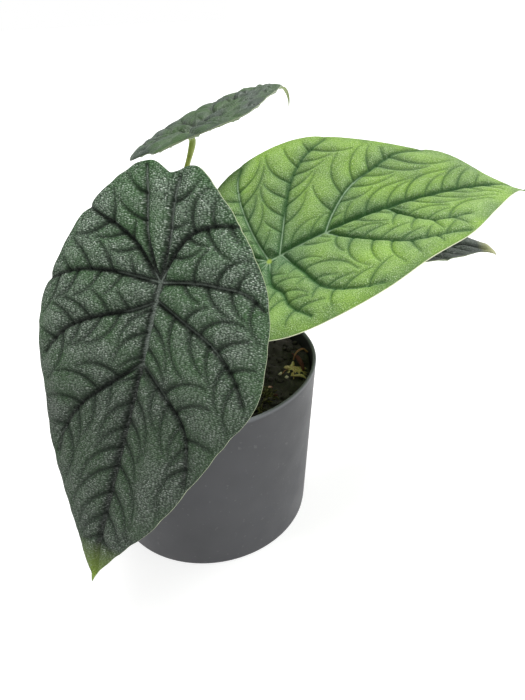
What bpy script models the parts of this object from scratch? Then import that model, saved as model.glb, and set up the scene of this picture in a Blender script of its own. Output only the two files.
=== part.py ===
"""Alocasia melo in its pot: four thick, quilted, shield-shaped leaves on stems, a corm, soil and a pot.

Metres, +Z up. The origin is the middle of the pot's flat underside. Driving dimensions are in millimetres.
Each leaf blade is drawn flat first: s runs along the midrib from the stem to the tip, t runs to the leaf's
right seen from above. The flat blade is then bent along the midrib and across it, and its relief is raised
from that smooth surface: veins are sunken on the upper face and stand out below, panels between are pillowed.
"""
import math
import random

import bpy
import numpy as np
from mathutils.geometry import delaunay_2d_cdt

MM = 0.001
GAP = 0.3

# Pot
POT_HEIGHT = 100.0
POT_TOP_RADIUS = 65.0
POT_BASE_RADIUS = 57.5
POT_WALL = 1.8
POT_FLOOR = 2.4
POT_FOOT_ROUND = 1.6
POT_SIDES = 48

# Soil, whose lumps are waves: height, waves along x and y in radians a millimetre, and phase
SOIL_LEVEL = 91.0
SOIL_WAVES = ((0.8, 0.21, 0.17, 1.3), (0.5, 0.43, -0.31, 0.0), (0.4, 0.37, 0.52, 3.6))
SOIL_RINGS = (1.0, 0.82, 0.64, 0.46, 0.28, 0.0)
SOIL_SIDES = 40

# Corm: a rounded foot, then leaf scars that ring it one above the other
CORM_X, CORM_Y = -5.0, 6.0
CORM_RADIUS = 9.0
CORM_BOTTOM = 64.0
CORM_TOP = 95.0
CORM_FOOT = ((5.0, 0.0), (8.0, 3.0))
CORM_SIDES = 24
SCARS = 3
SCAR_FIRST = 6.0
SCAR_RISE = 6.0
SCAR_DEPTH = 0.8

# Stems: the ring of feet on the corm's flat top, and the straight neck under each blade
FOOT_RING = 5.2
FOOT_RISE = 7.0
NECK_LENGTH = 6.0
NECK_START = 0.93
NECK_SWELL = 0.35
TAPER_END = 0.62
STEM_SIDES = 10
STEM_STEP = 8.0

# Blades: bending is worked out at even steps, and the relief fades along each vein and towards the margin
BLADE_THICKNESS = 1.1
BEND_STEP = 0.5
SIDE_REACH = 80.0
SIDE_EASE = 6.0
MIDRIB_END = 0.965
PILLOW = 2.0
PILLOW_WIDTH = 2.4
SWELL = 2.3
SWELL_WIDTH = 7.0
SWELL_FADE = 4.0
GROOVE = 1.1
GROOVE_WIDTH = 1.3
VEIN_FADE = 0.45
MIDRIB_DEEPER = 1.5
MIDRIB_WIDER = 1.25
BRANCH_DEPTH = 0.9
BRANCH_FADE = 0.4
UNDER_RIB = 0.7
UNDER_RIB_EASE = 6.0
HUB_FLAT = 2.6
HUB_EDGE = 6.0
HUB_SIDES = 8
MARGIN_EASE = 7.0
MARGIN_KEEP = 0.33

# Triangle sizes of a blade
VEIN_STEP = 4.7
MARGIN_STEP = 4.4
LINE_CLEAR = 1.2
FILL_STEP = 5.0
FILL_CLEAR = 2.4

# Secondary veins: they leave a primary vein at an angle and turn towards its own direction
BRANCH_JITTER = 1.3
BRANCH_LAST = 0.93
BRANCH_SCATTER = 9.0
BRANCH_BACK_EXTRA = 12.0
BRANCH_TURN_SCATTER = 0.25
BRANCH_STEP = 1.5
BRANCH_FREE = 4.2
BRANCH_CLEAR = 1.6
BRANCH_LONGEST = 42.0
BRANCH_SHORTEST = 5.0

# Where along the blade its half-widths are given, as shares of its length from the stem to the tip
STATIONS = (-0.30, -0.17, -0.02, 0.14, 0.30, 0.45, 0.60, 0.74, 0.86, 0.94)

# Side veins of an average leaf, as shares of its length, for the two leaves that show little in the photograph
PLAIN_VEINS = (
    ((0.00, 0.00), (-0.14, 0.055), (-0.26, 0.075), (-0.34, 0.090)),
    ((0.00, 0.00), (-0.09, 0.080), (-0.16, 0.180), (-0.19, 0.270)),
    ((0.00, 0.00), (-0.01, 0.110), (0.00, 0.230), (0.05, 0.370)),
    ((0.06, 0.00), (0.11, 0.100), (0.17, 0.220), (0.27, 0.340)),
    ((0.26, 0.00), (0.35, 0.110), (0.44, 0.190), (0.58, 0.245)),
    ((0.48, 0.00), (0.54, 0.080), (0.62, 0.140), (0.72, 0.150)),
    ((0.66, 0.00), (0.72, 0.060), (0.80, 0.080)),
)

FRONT = dict(
    name="front", seed=3, relief=1.15,
    pitch=9.6, first=12.0, start=70.0, turn=3.4, end=-8.0, band=2.6,
    attach=(-11.6, -59.8, 172.2), azimuth=219.3, elevation=-61.6, roll=3.6,
    length=124.5, drip=0.0, tip_curl=0.0, tip_side=0.0,
    right=(25.0, 40.0, 49.0, 53.5, 50.0, 41.0, 32.5, 21.0, 11.0, 4.5),
    left=(23.0, 37.0, 48.0, 52.0, 52.0, 43.0, 33.5, 24.0, 12.0, 4.0),
    lobes=((-46.5, 10.5), (-46.0, -12.5)), sinus=-42.5,
    droop=(-0.0024, 0.000019), lobe_bend=-0.006, twist=0.0002,
    side_slope=(-0.15, -0.06), side_curve=(0.0024, 0.0030),
    veins=(
        ((0, 0), (-10, 5), (-20, 8.5), (-37, 9.5), (-44, 10.5)),
        ((0, 0), (-10, -1.5), (-18, -2.5), (-31, -3), (-41, -5)),
        ((0, 0), (-13.5, 12.5), (-20, 23.5), (-25, 37)),
        ((0, 0), (-14, -6.5), (-21.5, -13), (-25.5, -23.5), (-26.5, -36)),
        ((0, 0), (-0.5, 11), (-0.5, 24.5), (2, 39), (8, 51)),
        ((0, 0), (-2.5, -16.5), (-3, -29.5), (-2.5, -39), (2, -47)),
        ((8, 0), (13.5, 10.5), (20, 27), (27.5, 38.5), (39, 45.5)),
        ((7, 0), (13, -14.5), (19.5, -29.5), (28.5, -40.5), (38, -47)),
        ((33, 0), (45, 13), (56, 23), (67.5, 27.5), (77, 28)),
        ((33, 0), (43.5, -14.5), (52.5, -25), (62.5, -29.5), (74, -31)),
    ),
    foot_angle=-120.0, stem_radius=(3.0, 1.7),
    stem=((-15, -12, 124), (-18, -35, 153)),
)

RIGHT = dict(
    name="right", seed=11, relief=0.85,
    pitch=9.6, first=8.0, start=66.0, turn=2.9, end=2.0, band=4.2,
    attach=(40.4, -6.8, 155.0), azimuth=95.7, elevation=27.7, roll=-25.0,
    length=142.0, drip=0.0, tip_curl=0.0, tip_side=3.3,
    right=(28.0, 46.0, 57.0, 60.0, 57.0, 49.0, 41.0, 26.0, 12.5, 5.4),
    left=(28.5, 44.0, 56.5, 60.5, 58.0, 46.5, 34.0, 24.0, 6.2, -1.6),
    lobes=((-53.0, 14.0), (-53.0, -14.0)), sinus=-49.5,
    droop=(0.0040, 0.000008), lobe_bend=-0.004, twist=0.0006,
    side_slope=(-0.26, -0.29), side_curve=(0.0016, 0.0012),
    veins=(
        ((0, 0), (-20, 7), (-36, 10), (-48, 12)),
        ((0, 0), (-20, -7), (-36, -10), (-48, -12)),
        ((0, 0), (-14, 13), (-23, 26), (-27, 38)),
        ((0, 0), (-14, -13), (-23, -27), (-26, -39)),
        ((0, 0), (-2.5, 17.5), (1.5, 28), (3, 40), (10, 53)),
        ((0, 0), (-2, -18), (-1.5, -36), (1.5, -49), (6, -57)),
        ((7, 0), (13.5, 19), (19.5, 38), (31, 49), (42, 53)),
        ((6, 0), (13.5, -14), (20, -26), (27.5, -37.5), (38, -47), (50, -52.5)),
        ((31, 0), (42.5, 14), (54, 26), (64, 33.5), (86, 38)),
        ((31, 0), (38.5, -9), (51, -19.5), (65.5, -25.5), (80, -30.5), (93, -29.5)),
        ((63, 0), (70, 13), (78, 23), (92, 26)),
    ),
    foot_angle=-25.0, stem_radius=(3.0, 1.8),
    stem=((7, 2, 112), (22, -2, 131)),
)

BACK = dict(
    name="back", seed=23, relief=1.0,
    pitch=9.0, first=9.0, start=70.0, turn=3.4, end=-10.0, band=2.6,
    attach=(9.5, 65.0, 206.3), azimuth=45.9, elevation=10.0, roll=8.0,
    length=92.0, drip=11.0, tip_curl=1.7, tip_side=0.0, tip_width=0.02,
    right=(18.0, 31.5, 36.5, 37.0, 32.5, 28.0, 23.5, 16.3, 8.0, 3.0),
    left=(23.0, 36.0, 42.0, 47.0, 41.5, 33.5, 25.0, 17.8, 8.8, 3.2),
    lobes=((-36.5, 10.5), (-36.5, -10.5)), sinus=-32.0,
    droop=(-0.0045, 0.00009), lobe_bend=0.0018, twist=-0.0014,
    side_slope=(-0.16, 0.2), side_curve=(0.0029, 0.0002),
    foot_angle=155.0, stem_radius=(2.8, 1.4),
    stem=((-13, 23, 124), (-3, 51, 165)),
)

SMALL = dict(
    name="small", seed=37, relief=1.0,
    pitch=7.0, first=7.0, start=66.0, turn=3.0, end=0.0, band=2.6,
    attach=(98.0, 26.0, 143.5), azimuth=95.0, elevation=0.5, roll=-12.0,
    length=77.0, drip=5.0, tip_curl=0.8, tip_side=1.5, tip_width=0.055,
    right=(14.0, 21.5, 26.5, 28.0, 26.8, 22.8, 18.5, 13.0, 7.0, 4.6),
    left=(15.4, 24.3, 30.0, 32.0, 31.5, 28.0, 22.5, 15.5, 8.5, 5.4),
    lobes=((-31.5, 7.7), (-31.5, -7.7)), sinus=-28.5,
    droop=(0.0021, 0.000008), lobe_bend=0.003, twist=-0.0004,
    side_slope=(-0.29, -0.19), side_curve=(0.0026, 0.0029),
    foot_angle=65.0, stem_radius=(2.4, 1.2),
    stem=((7, 16, 113), (38, 23, 124), (76, 26, 127)),
)

LEAVES = (FRONT, RIGHT, BACK, SMALL)

COLOURS = {
    "pot": ((0.085, 0.088, 0.095), 0.45),
    "soil": ((0.012, 0.010, 0.008), 0.95),
    "corm": ((0.110, 0.060, 0.030), 0.85),
    "stem": ((0.270, 0.340, 0.055), 0.45),
    "blade_front": ((0.028, 0.070, 0.040), 0.42),
    "blade_right": ((0.190, 0.420, 0.085), 0.42),
    "blade_back": ((0.050, 0.100, 0.055), 0.45),
    "blade_small": ((0.040, 0.055, 0.042), 0.45),
}


def clear_scene():
    """Remove every object of the scene."""
    for item in list(bpy.data.objects):
        bpy.data.objects.remove(item, do_unlink=True)


def material(name, colour_name):
    """A Principled material of one of the part's colours."""
    colour, roughness = COLOURS[colour_name]
    made = bpy.data.materials.new(name)
    made.use_nodes = True
    shader = made.node_tree.nodes["Principled BSDF"]
    shader.inputs["Base Color"].default_value = (*colour, 1.0)
    shader.inputs["Roughness"].default_value = roughness
    shader.inputs["Metallic"].default_value = 0.0
    return made


def add_object(name, points, faces, colour_name):
    """Make a mesh object from points in millimetres, in world space."""
    mesh = bpy.data.meshes.new(name)
    mesh.from_pydata([tuple(point * MM) for point in np.asarray(points, float)], [], faces)
    mesh.update()
    mesh.shade_smooth()
    mesh.set_sharp_from_angle(angle=math.radians(50))
    item = bpy.data.objects.new(name, mesh)
    mesh.materials.append(material(name, colour_name))
    bpy.context.scene.collection.objects.link(item)
    return item


def stacked_rings(name, rings, low_pole, high_pole, colour_name):
    """Join equal rings, each going round anticlockwise seen from +Z, into one body closed by two poles."""
    count = len(rings[0])
    points = [low_pole] + [point for ring in rings for point in ring] + [high_pole]
    last = len(points) - 1
    faces = []
    for k in range(count):
        after = (k + 1) % count
        faces.append((0, 1 + after, 1 + k))
        for row in range(len(rings) - 1):
            lower, upper = 1 + row * count, 1 + (row + 1) * count
            faces.append((lower + k, lower + after, upper + after, upper + k))
        top = 1 + (len(rings) - 1) * count
        faces.append((last, top + k, top + after))
    return add_object(name, points, faces, colour_name)


def circle(radius, height, sides, centre=(0.0, 0.0)):
    """Points of a level circle."""
    angles = np.arange(sides) * 2 * math.pi / sides
    return np.stack([centre[0] + radius * np.cos(angles), centre[1] + radius * np.sin(angles),
                     np.full(sides, height)], axis=1)


def pot_outer_radius(height):
    """Outer radius of the pot's tapered wall."""
    return POT_BASE_RADIUS + (POT_TOP_RADIUS - POT_BASE_RADIUS) * height / POT_HEIGHT


def pot_inner_radius(height):
    """Inner radius of the pot's tapered wall."""
    return pot_outer_radius(height) - POT_WALL


def make_pot():
    """A thin tapered pot with a rounded lip and a closed flat base."""
    lip = POT_WALL / 2
    lip_middle = pot_outer_radius(POT_HEIGHT) - lip
    foot_middle = pot_outer_radius(0) - POT_FOOT_ROUND
    profile = []
    for angle in (-90, -45, 0):
        turn = math.radians(angle)
        profile.append((foot_middle + POT_FOOT_ROUND * math.cos(turn), POT_FOOT_ROUND * (1 + math.sin(turn))))
    for angle in (0, 45, 90, 135, 180):
        turn = math.radians(angle)
        profile.append((lip_middle + lip * math.cos(turn), POT_HEIGHT - lip + lip * math.sin(turn)))
    profile.append((pot_inner_radius(POT_FLOOR), POT_FLOOR))
    rings = [circle(radius, height, POT_SIDES) for radius, height in profile]
    return stacked_rings("pot", rings, (0, 0, 0), (0, 0, POT_FLOOR), "pot")


def soil_height(x, y):
    """Height of the lumpy soil at a place."""
    return SOIL_LEVEL + sum(size * math.sin(along_x * x + along_y * y + phase)
                            for size, along_x, along_y, phase in SOIL_WAVES)


def make_soil():
    """Soil that fills the pot, with a lumpy top and a plain hole for the corm."""
    hole = CORM_RADIUS + GAP
    floor, bottom = CORM_BOTTOM - GAP, POT_FLOOR + GAP
    wall_top = pot_inner_radius(SOIL_LEVEL) - 2 * GAP
    wall_low = pot_inner_radius(bottom) - 2 * GAP
    rings = [circle(wall_low, bottom, SOIL_SIDES)]
    for share in SOIL_RINGS:
        radius = hole + (wall_top - hole) * share
        centre = (CORM_X * (1 - share), CORM_Y * (1 - share))
        ring = circle(radius, 0.0, SOIL_SIDES, centre)
        for point in ring:
            point[2] = soil_height(point[0], point[1])
        rings.append(ring)
    rings.append(circle(hole, floor, SOIL_SIDES, (CORM_X, CORM_Y)))
    return stacked_rings("soil", rings, (0, 0, bottom), (CORM_X, CORM_Y, floor), "soil")


def make_corm():
    """The short thick rootstock that the stems stand on, ringed by old leaf scars, with a flat top."""
    profile = list(CORM_FOOT)
    for scar in range(SCARS):
        base = SCAR_FIRST + SCAR_RISE * scar
        profile += [(CORM_RADIUS, base), (CORM_RADIUS, base + 0.5 * SCAR_RISE),
                    (CORM_RADIUS - SCAR_DEPTH, base + 0.65 * SCAR_RISE)]
    profile += [(CORM_RADIUS, CORM_TOP - CORM_BOTTOM - SCAR_DEPTH),
                (CORM_RADIUS - SCAR_DEPTH, CORM_TOP - CORM_BOTTOM)]
    rings = [circle(radius, CORM_BOTTOM + height, CORM_SIDES, (CORM_X, CORM_Y)) for radius, height in profile]
    return stacked_rings("corm", rings, (CORM_X, CORM_Y, CORM_BOTTOM), (CORM_X, CORM_Y, CORM_TOP), "corm")


def rounded_curve(points, pieces=10):
    """A smooth curve through points, as a fine polyline (Catmull-Rom)."""
    points = np.asarray(points, float)
    ahead, behind = 2 * points[-1] - points[-2], 2 * points[0] - points[1]
    padded = np.vstack([behind, points, ahead])
    share = np.linspace(0, 1, pieces, endpoint=False)[:, None]
    curve = []
    for a, b, c, d in zip(padded, padded[1:], padded[2:], padded[3:]):
        curve.append(0.5 * (2 * b + (c - a) * share + (2 * a - 5 * b + 4 * c - d) * share ** 2
                            + (3 * b - a - 3 * c + d) * share ** 3))
    return np.vstack(curve + [points[-1:]])


def respaced(line, step):
    """The same polyline with its points about one step apart."""
    line = np.asarray(line, float)
    run = np.concatenate([[0], np.cumsum(np.linalg.norm(np.diff(line, axis=0), axis=1))])
    count = max(1, round(run[-1] / step))
    places = np.linspace(0, run[-1], count + 1)
    return np.stack([np.interp(places, run, line[:, axis]) for axis in range(line.shape[1])], axis=1)


def leaf_frame(leaf):
    """Directions at the stem: along the midrib, to the leaf's right, and up from its upper face."""
    azimuth, elevation, roll = (math.radians(leaf[key]) for key in ("azimuth", "elevation", "roll"))
    along = np.array([math.cos(elevation) * math.sin(azimuth), math.cos(elevation) * math.cos(azimuth),
                      math.sin(elevation)])
    right = np.cross(along, (0.0, 0.0, 1.0))
    right /= np.linalg.norm(right)
    up = np.cross(right, along)
    return (along, math.cos(roll) * right + math.sin(roll) * up,
            math.cos(roll) * up - math.sin(roll) * right)


def running_integral(values, step):
    """Integral of evenly spaced values from the first one, by the trapezium rule."""
    return np.concatenate([[0], np.cumsum((values[1:] + values[:-1]) / 2) * step])


def midrib_bend(leaf, s):
    """Where the bent midrib lies for each s: distance along, drop below, and its slope angle."""
    grid = np.arange(0, leaf["length"] + leaf["drip"] + 4 * BEND_STEP, BEND_STEP)
    slope = leaf["droop"][0] * grid + leaf["droop"][1] * grid ** 2
    curl_start = leaf["length"] - leaf["drip"] / 2
    curl_length = max(1.5 * leaf["drip"], BEND_STEP)
    slope = slope + leaf["tip_curl"] * np.clip((grid - curl_start) / curl_length, 0, 1)
    along = running_integral(np.cos(slope), BEND_STEP)
    drop = running_integral(np.sin(slope), BEND_STEP)
    back_slope = leaf["lobe_bend"] * grid
    back_along = running_integral(np.cos(back_slope), BEND_STEP)
    back_drop = running_integral(np.sin(back_slope), BEND_STEP)
    ahead, size = s >= 0, np.abs(s)
    return (np.where(ahead, np.interp(size, grid, along), -np.interp(size, grid, back_along)),
            np.where(ahead, np.interp(size, grid, drop), np.interp(size, grid, back_drop)),
            np.where(ahead, np.interp(size, grid, slope), -np.interp(size, grid, back_slope)))


def side_bend(leaf, t):
    """Where the cross-section lies for each t: distance out, drop below, and its slope angle."""
    grid = np.arange(0, SIDE_REACH, BEND_STEP)
    out, drop, slope = np.zeros(len(t)), np.zeros(len(t)), np.zeros(len(t))
    for side, chosen in ((0, t >= 0), (1, t < 0)):
        angle = leaf["side_slope"][side] * (1 - np.exp(-grid / SIDE_EASE)) + leaf["side_curve"][side] * grid
        size = np.abs(t[chosen])
        out[chosen] = np.interp(size, grid, running_integral(np.cos(angle), BEND_STEP))
        drop[chosen] = np.interp(size, grid, running_integral(np.sin(angle), BEND_STEP))
        slope[chosen] = np.interp(size, grid, angle)
    return out * np.sign(t), drop, slope


def smooth_blade(leaf, flat):
    """Places and upward normals of the smooth bent blade for flat points (s, t)."""
    along, right, up = leaf_frame(leaf)
    ahead, sink, slope = midrib_bend(leaf, flat[:, 0])
    out, drop, tilt = side_bend(leaf, flat[:, 1])
    turned_up = np.sin(slope)[:, None] * along + np.cos(slope)[:, None] * up
    turn = (leaf["twist"] * flat[:, 0])[:, None]
    side_way = np.cos(turn) * right + np.sin(turn) * turned_up
    up_way = np.cos(turn) * turned_up - np.sin(turn) * right
    place = (np.array(leaf["attach"]) + ahead[:, None] * along - sink[:, None] * up
             + out[:, None] * side_way - drop[:, None] * up_way)
    normal = np.cos(tilt)[:, None] * up_way + (np.sign(flat[:, 1]) * np.sin(tilt))[:, None] * side_way
    return place, normal


def outline(leaf):
    """The blade's margin as a closed line, round from the tip by the right side to the notch and back."""
    length, tip = leaf["length"], (leaf["length"] + leaf["drip"], leaf["tip_side"])
    sides = []
    for side, sign, lobe in (("right", 1, leaf["lobes"][0]), ("left", -1, leaf["lobes"][1])):
        points = [(share * length, sign * width) for share, width in zip(STATIONS, leaf[side])]
        points.reverse()
        if leaf["drip"]:
            points.insert(0, (length, leaf["tip_side"] / 3 + sign * leaf["tip_width"] * length))
        sides.append(rounded_curve([tip] + points + [lobe, (leaf["sinus"], 0.0)]))
    return np.vstack([sides[0], sides[1][::-1][1:-1]])


def inside(border, points):
    """Which points lie inside a closed line."""
    result = np.zeros(len(points), bool)
    x, y = points[:, 0], points[:, 1]
    for (ax, ay), (bx, by) in zip(border, np.roll(border, -1, axis=0)):
        crosses = (ay > y) != (by > y)
        if crosses.any():
            at = ax + (y - ay) / (by - ay if by != ay else 1e-9) * (bx - ax)
            result ^= crosses & (x < at)
    return result


def distance_to(line, points):
    """Distance of each point to a polyline, and how far along it, as a share, the nearest place is."""
    best = np.full(len(points), 1e9)
    where = np.zeros(len(points))
    run = np.concatenate([[0], np.cumsum(np.linalg.norm(np.diff(line, axis=0), axis=1))])
    for k in range(len(line) - 1):
        leg = line[k + 1] - line[k]
        size = max(leg @ leg, 1e-9)
        share = np.clip((points - line[k]) @ leg / size, 0, 1)
        gap = np.linalg.norm(points - line[k] - share[:, None] * leg, axis=1)
        nearer = gap < best
        best[nearer] = gap[nearer]
        where[nearer] = (run[k] + share[nearer] * math.sqrt(size)) / run[-1]
    return best, where


def primary_veins(leaf):
    """Midrib first, then the main side veins, as smooth lines."""
    lines = leaf.get("veins")
    if not lines:
        size = leaf["length"]
        lines = [[(s * size, sign * t * size) for s, t in line] for line in PLAIN_VEINS for sign in (1, -1)]
    end = MIDRIB_END * leaf["length"]
    midrib = [(0.0, 0.0), (0.45 * end, 0.0), (0.85 * end, 0.0), (end, leaf["tip_side"])]
    return [rounded_curve(line) for line in [midrib] + list(lines)]


def branch_seeds(veins, leaf, draw):
    """Starting points of the secondary veins: place, heading of the parent, side, and the parent's number."""
    seeds = []
    for number, vein in enumerate(veins):
        length = np.linalg.norm(np.diff(vein, axis=0), axis=1).sum()
        fine = respaced(vein, BEND_STEP)
        for side in (1, -1):
            run = leaf["first"] + (leaf["pitch"] / 2 if side < 0 else 0.0)
            while run < BRANCH_LAST * length:
                k = min(int(run / length * (len(fine) - 1)), len(fine) - 2)
                heading = math.atan2(*(fine[k + 1] - fine[k])[::-1])
                seeds.append((fine[k], heading, side, number))
                run += leaf["pitch"] + draw.uniform(-BRANCH_JITTER, BRANCH_JITTER)
    return seeds


def secondary_veins(leaf, border, veins):
    """Grow the secondary veins together, step by step, until each meets another vein or the margin."""
    draw = random.Random(leaf["seed"])
    growing = []
    for place, heading, side, number in branch_seeds(veins, leaf, draw):
        front = (side > 0) == (place[1] < 0) or abs(place[1]) < 0.5
        angle = leaf["start"] + (0 if front else BRANCH_BACK_EXTRA)
        angle += draw.uniform(-BRANCH_SCATTER, BRANCH_SCATTER)
        turn = leaf["turn"] * draw.uniform(1 - BRANCH_TURN_SCATTER, 1 + BRANCH_TURN_SCATTER)
        between_basal = number in (1, 2) and (side > 0) == (number == 1)
        growing.append(dict(line=[place], heading=heading, side=side, number=number, angle=angle, turn=turn,
                            open=not between_basal))
    rails = [respaced(vein, BRANCH_STEP) for vein in veins]
    for _ in range(int(BRANCH_LONGEST / BRANCH_STEP)):
        for branch in growing:
            if not branch["open"]:
                continue
            way = branch["heading"] + branch["side"] * math.radians(branch["angle"])
            ahead = branch["line"][-1] + BRANCH_STEP * np.array([math.cos(way), math.sin(way)])
            young = len(branch["line"]) * BRANCH_STEP < BRANCH_FREE
            others = [rail for number, rail in enumerate(rails) if not (young and number == branch["number"])]
            others += [np.array(other["line"]) for other in growing if other is not branch]
            near = min(np.linalg.norm(other - ahead, axis=1).min() for other in others)
            at_margin = np.linalg.norm(border - ahead, axis=1).min() < leaf["band"]
            if at_margin or not inside(border, ahead[None])[0] or (near < BRANCH_CLEAR and not young):
                branch["open"] = False
                continue
            branch["line"].append(ahead)
            branch["angle"] = max(leaf["end"], branch["angle"] - branch["turn"] * BRANCH_STEP)
    return [np.array(branch["line"]) for branch in growing
            if (len(branch["line"]) - 1) * BRANCH_STEP >= BRANCH_SHORTEST]


def relief(leaf, border, veins, branches, flat):
    """Height of the upper face above the smooth blade, and the depth of the ribs below it."""
    crease = np.zeros(len(flat))
    swell = np.full(len(flat), 1e9)
    groove = np.zeros(len(flat))
    for number, vein in enumerate(veins):
        away, share = distance_to(vein, flat)
        depth = 1 - VEIN_FADE * share
        deeper, wider = (MIDRIB_DEEPER, MIDRIB_WIDER) if number == 0 else (1.0, 1.0)
        crease = np.maximum(crease, depth * np.exp(-away / PILLOW_WIDTH))
        groove = np.maximum(groove, deeper * depth * np.exp(-(away / GROOVE_WIDTH / wider) ** 2))
        swell = np.minimum(swell, away + SWELL_FADE * share ** 2)
    for branch in branches:
        away, share = distance_to(branch, flat)
        crease = np.maximum(crease, (BRANCH_DEPTH - BRANCH_FADE * share) * np.exp(-away / PILLOW_WIDTH))
    edge = distance_to(np.vstack([border, border[:1]]), flat)[0]
    ease = MARGIN_KEEP + (1 - MARGIN_KEEP) * np.clip(edge / MARGIN_EASE, 0, 1)
    centre = np.clip((np.linalg.norm(flat, axis=1) - HUB_FLAT) / (HUB_EDGE - HUB_FLAT), 0, 1)
    height = ease * (PILLOW * (1 - crease) + SWELL * (1 - np.exp(-swell / SWELL_WIDTH)))
    height = leaf["relief"] * height - GROOVE * groove
    rib = UNDER_RIB * np.clip(edge / UNDER_RIB_EASE, 0, 1) * np.minimum(groove, 1.0)
    hub_height, hub_rib = -GROOVE, UNDER_RIB
    return hub_height + centre * (height - hub_height), hub_rib + centre * (rib - hub_rib)


def kept_within(margin, line, clear):
    """The first stretch of a line that stays inside a margin and clear of it."""
    away = distance_to(np.vstack([margin, margin[:1]]), line)[0]
    leaves = np.flatnonzero(~inside(margin, line) | (away < clear))
    return line[:leaves[0]] if len(leaves) else line


def flat_points(border, veins, branches):
    """Points and edges of the flat triangle net: margin, veins, a hub for the stem, and points between."""
    margin = respaced(np.vstack([border, border[:1]]), MARGIN_STEP)[:-1]
    points, edges = list(margin), [(k, (k + 1) % len(margin)) for k in range(len(margin))]
    for line in veins + branches:
        net = kept_within(margin, respaced(line, VEIN_STEP), LINE_CLEAR)
        if len(net) < 2:
            continue
        edges += [(len(points) + k, len(points) + k + 1) for k in range(len(net) - 1)]
        points += list(net)
    hub = circle(HUB_FLAT, 0, HUB_SIDES)[:, :2]
    points += list(hub)
    used = np.array(points)
    low, high = border.min(axis=0), border.max(axis=0)
    rows = np.arange(low[1], high[1], FILL_STEP * math.sqrt(3) / 2)
    for number, t in enumerate(rows):
        for s in np.arange(low[0] + (number % 2) * FILL_STEP / 2, high[0], FILL_STEP):
            point = np.array([s, t])
            if np.linalg.norm(used - point, axis=1).min() > FILL_CLEAR and inside(border, point[None])[0]:
                points.append(point)
    return points, edges


def make_blade(leaf):
    """One leaf blade: the flat net, bent and raised, with its lower face a constant way below."""
    border = outline(leaf)
    veins = primary_veins(leaf)
    branches = secondary_veins(leaf, border, veins)
    points, edges = flat_points(border, veins, branches)
    net = delaunay_2d_cdt([tuple(point) for point in points], edges, [], 1, 1e-3)
    flat = np.array([tuple(point) for point in net[0]])
    triangles = [tuple(face) for face in net[2]]
    place, normal = smooth_blade(leaf, flat)
    height, rib = relief(leaf, border, veins, branches, flat)
    upper = place + height[:, None] * normal
    lower = place + (height - BLADE_THICKNESS - rib)[:, None] * normal
    count = len(flat)
    faces = [(a, c, b) for a, b, c in triangles]
    faces += [(a + count, b + count, c + count) for a, b, c in triangles]
    sides = {(a, b) for tri in triangles for a, b in zip(tri, tri[1:] + tri[:1])}
    for a, b in sorted(sides):
        if (b, a) not in sides:
            faces += [(a, b, b + count), (a, b + count, a + count)]
    return add_object("blade_" + leaf["name"], np.vstack([upper, lower]), faces, "blade_" + leaf["name"])


def stem_path(leaf):
    """Middle line of a stem, from its foot on the corm to its seat under the blade."""
    up = leaf_frame(leaf)[2]
    seat = np.array(leaf["attach"]) - (GROOVE + BLADE_THICKNESS + UNDER_RIB + GAP) * up
    turn = math.radians(leaf["foot_angle"])
    foot = np.array([CORM_X + FOOT_RING * math.cos(turn), CORM_Y + FOOT_RING * math.sin(turn),
                     CORM_TOP + GAP])
    arriving = seat - leaf["stem"][-1]
    neck = up + arriving / np.linalg.norm(arriving)
    neck *= NECK_LENGTH / np.linalg.norm(neck)
    return rounded_curve([foot, foot + (0, 0, FOOT_RISE)] + list(leaf["stem"]) + [seat - neck, seat]), up


def make_stem(leaf):
    """One round stem, thicker at its foot, with a slightly swollen neck."""
    fine, up = stem_path(leaf)
    path = respaced(fine, STEM_STEP)
    thick, thin = leaf["stem_radius"]
    angles = np.arange(STEM_SIDES) * 2 * math.pi / STEM_SIDES
    rings, last = [], len(path) - 1
    first_way = np.array([1.0, 0.0, 0.0])
    for k, centre in enumerate(path):
        axis = (0, 0, 1) if k == 0 else up if k == last else path[k + 1] - path[k - 1]
        axis = np.array(axis, float) / np.linalg.norm(axis)
        share = k / last
        radius = thick + (thin - thick) * min(1.0, share / TAPER_END)
        if share > NECK_START:
            radius += NECK_SWELL * thin
        first_way = first_way - axis * (first_way @ axis)
        first_way /= np.linalg.norm(first_way)
        second_way = np.cross(axis, first_way)
        rings.append(centre + radius * (np.cos(angles)[:, None] * first_way
                                        + np.sin(angles)[:, None] * second_way))
    return stacked_rings("petiole_" + leaf["name"], rings, path[0], path[-1], "stem")


def main():
    """Build the whole part."""
    clear_scene()
    make_pot()
    make_soil()
    make_corm()
    for leaf in LEAVES:
        make_stem(leaf)
        make_blade(leaf)


main()
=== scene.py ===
"""Looks of the alocasia melo in its pot: fine leaf blades, stems, corm, soil and litter, pot, light, camera.

Lengths are in millimetres and become metres as each mesh is made. The leaf shapes follow the same drawing as
the part: s runs along the midrib from the stem to the tip, t runs to the leaf's right seen from above.
"""
import math
import random

import bpy
import numpy as np
from mathutils import Euler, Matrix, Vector
from mathutils.geometry import delaunay_2d_cdt
from mathutils.kdtree import KDTree


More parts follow.
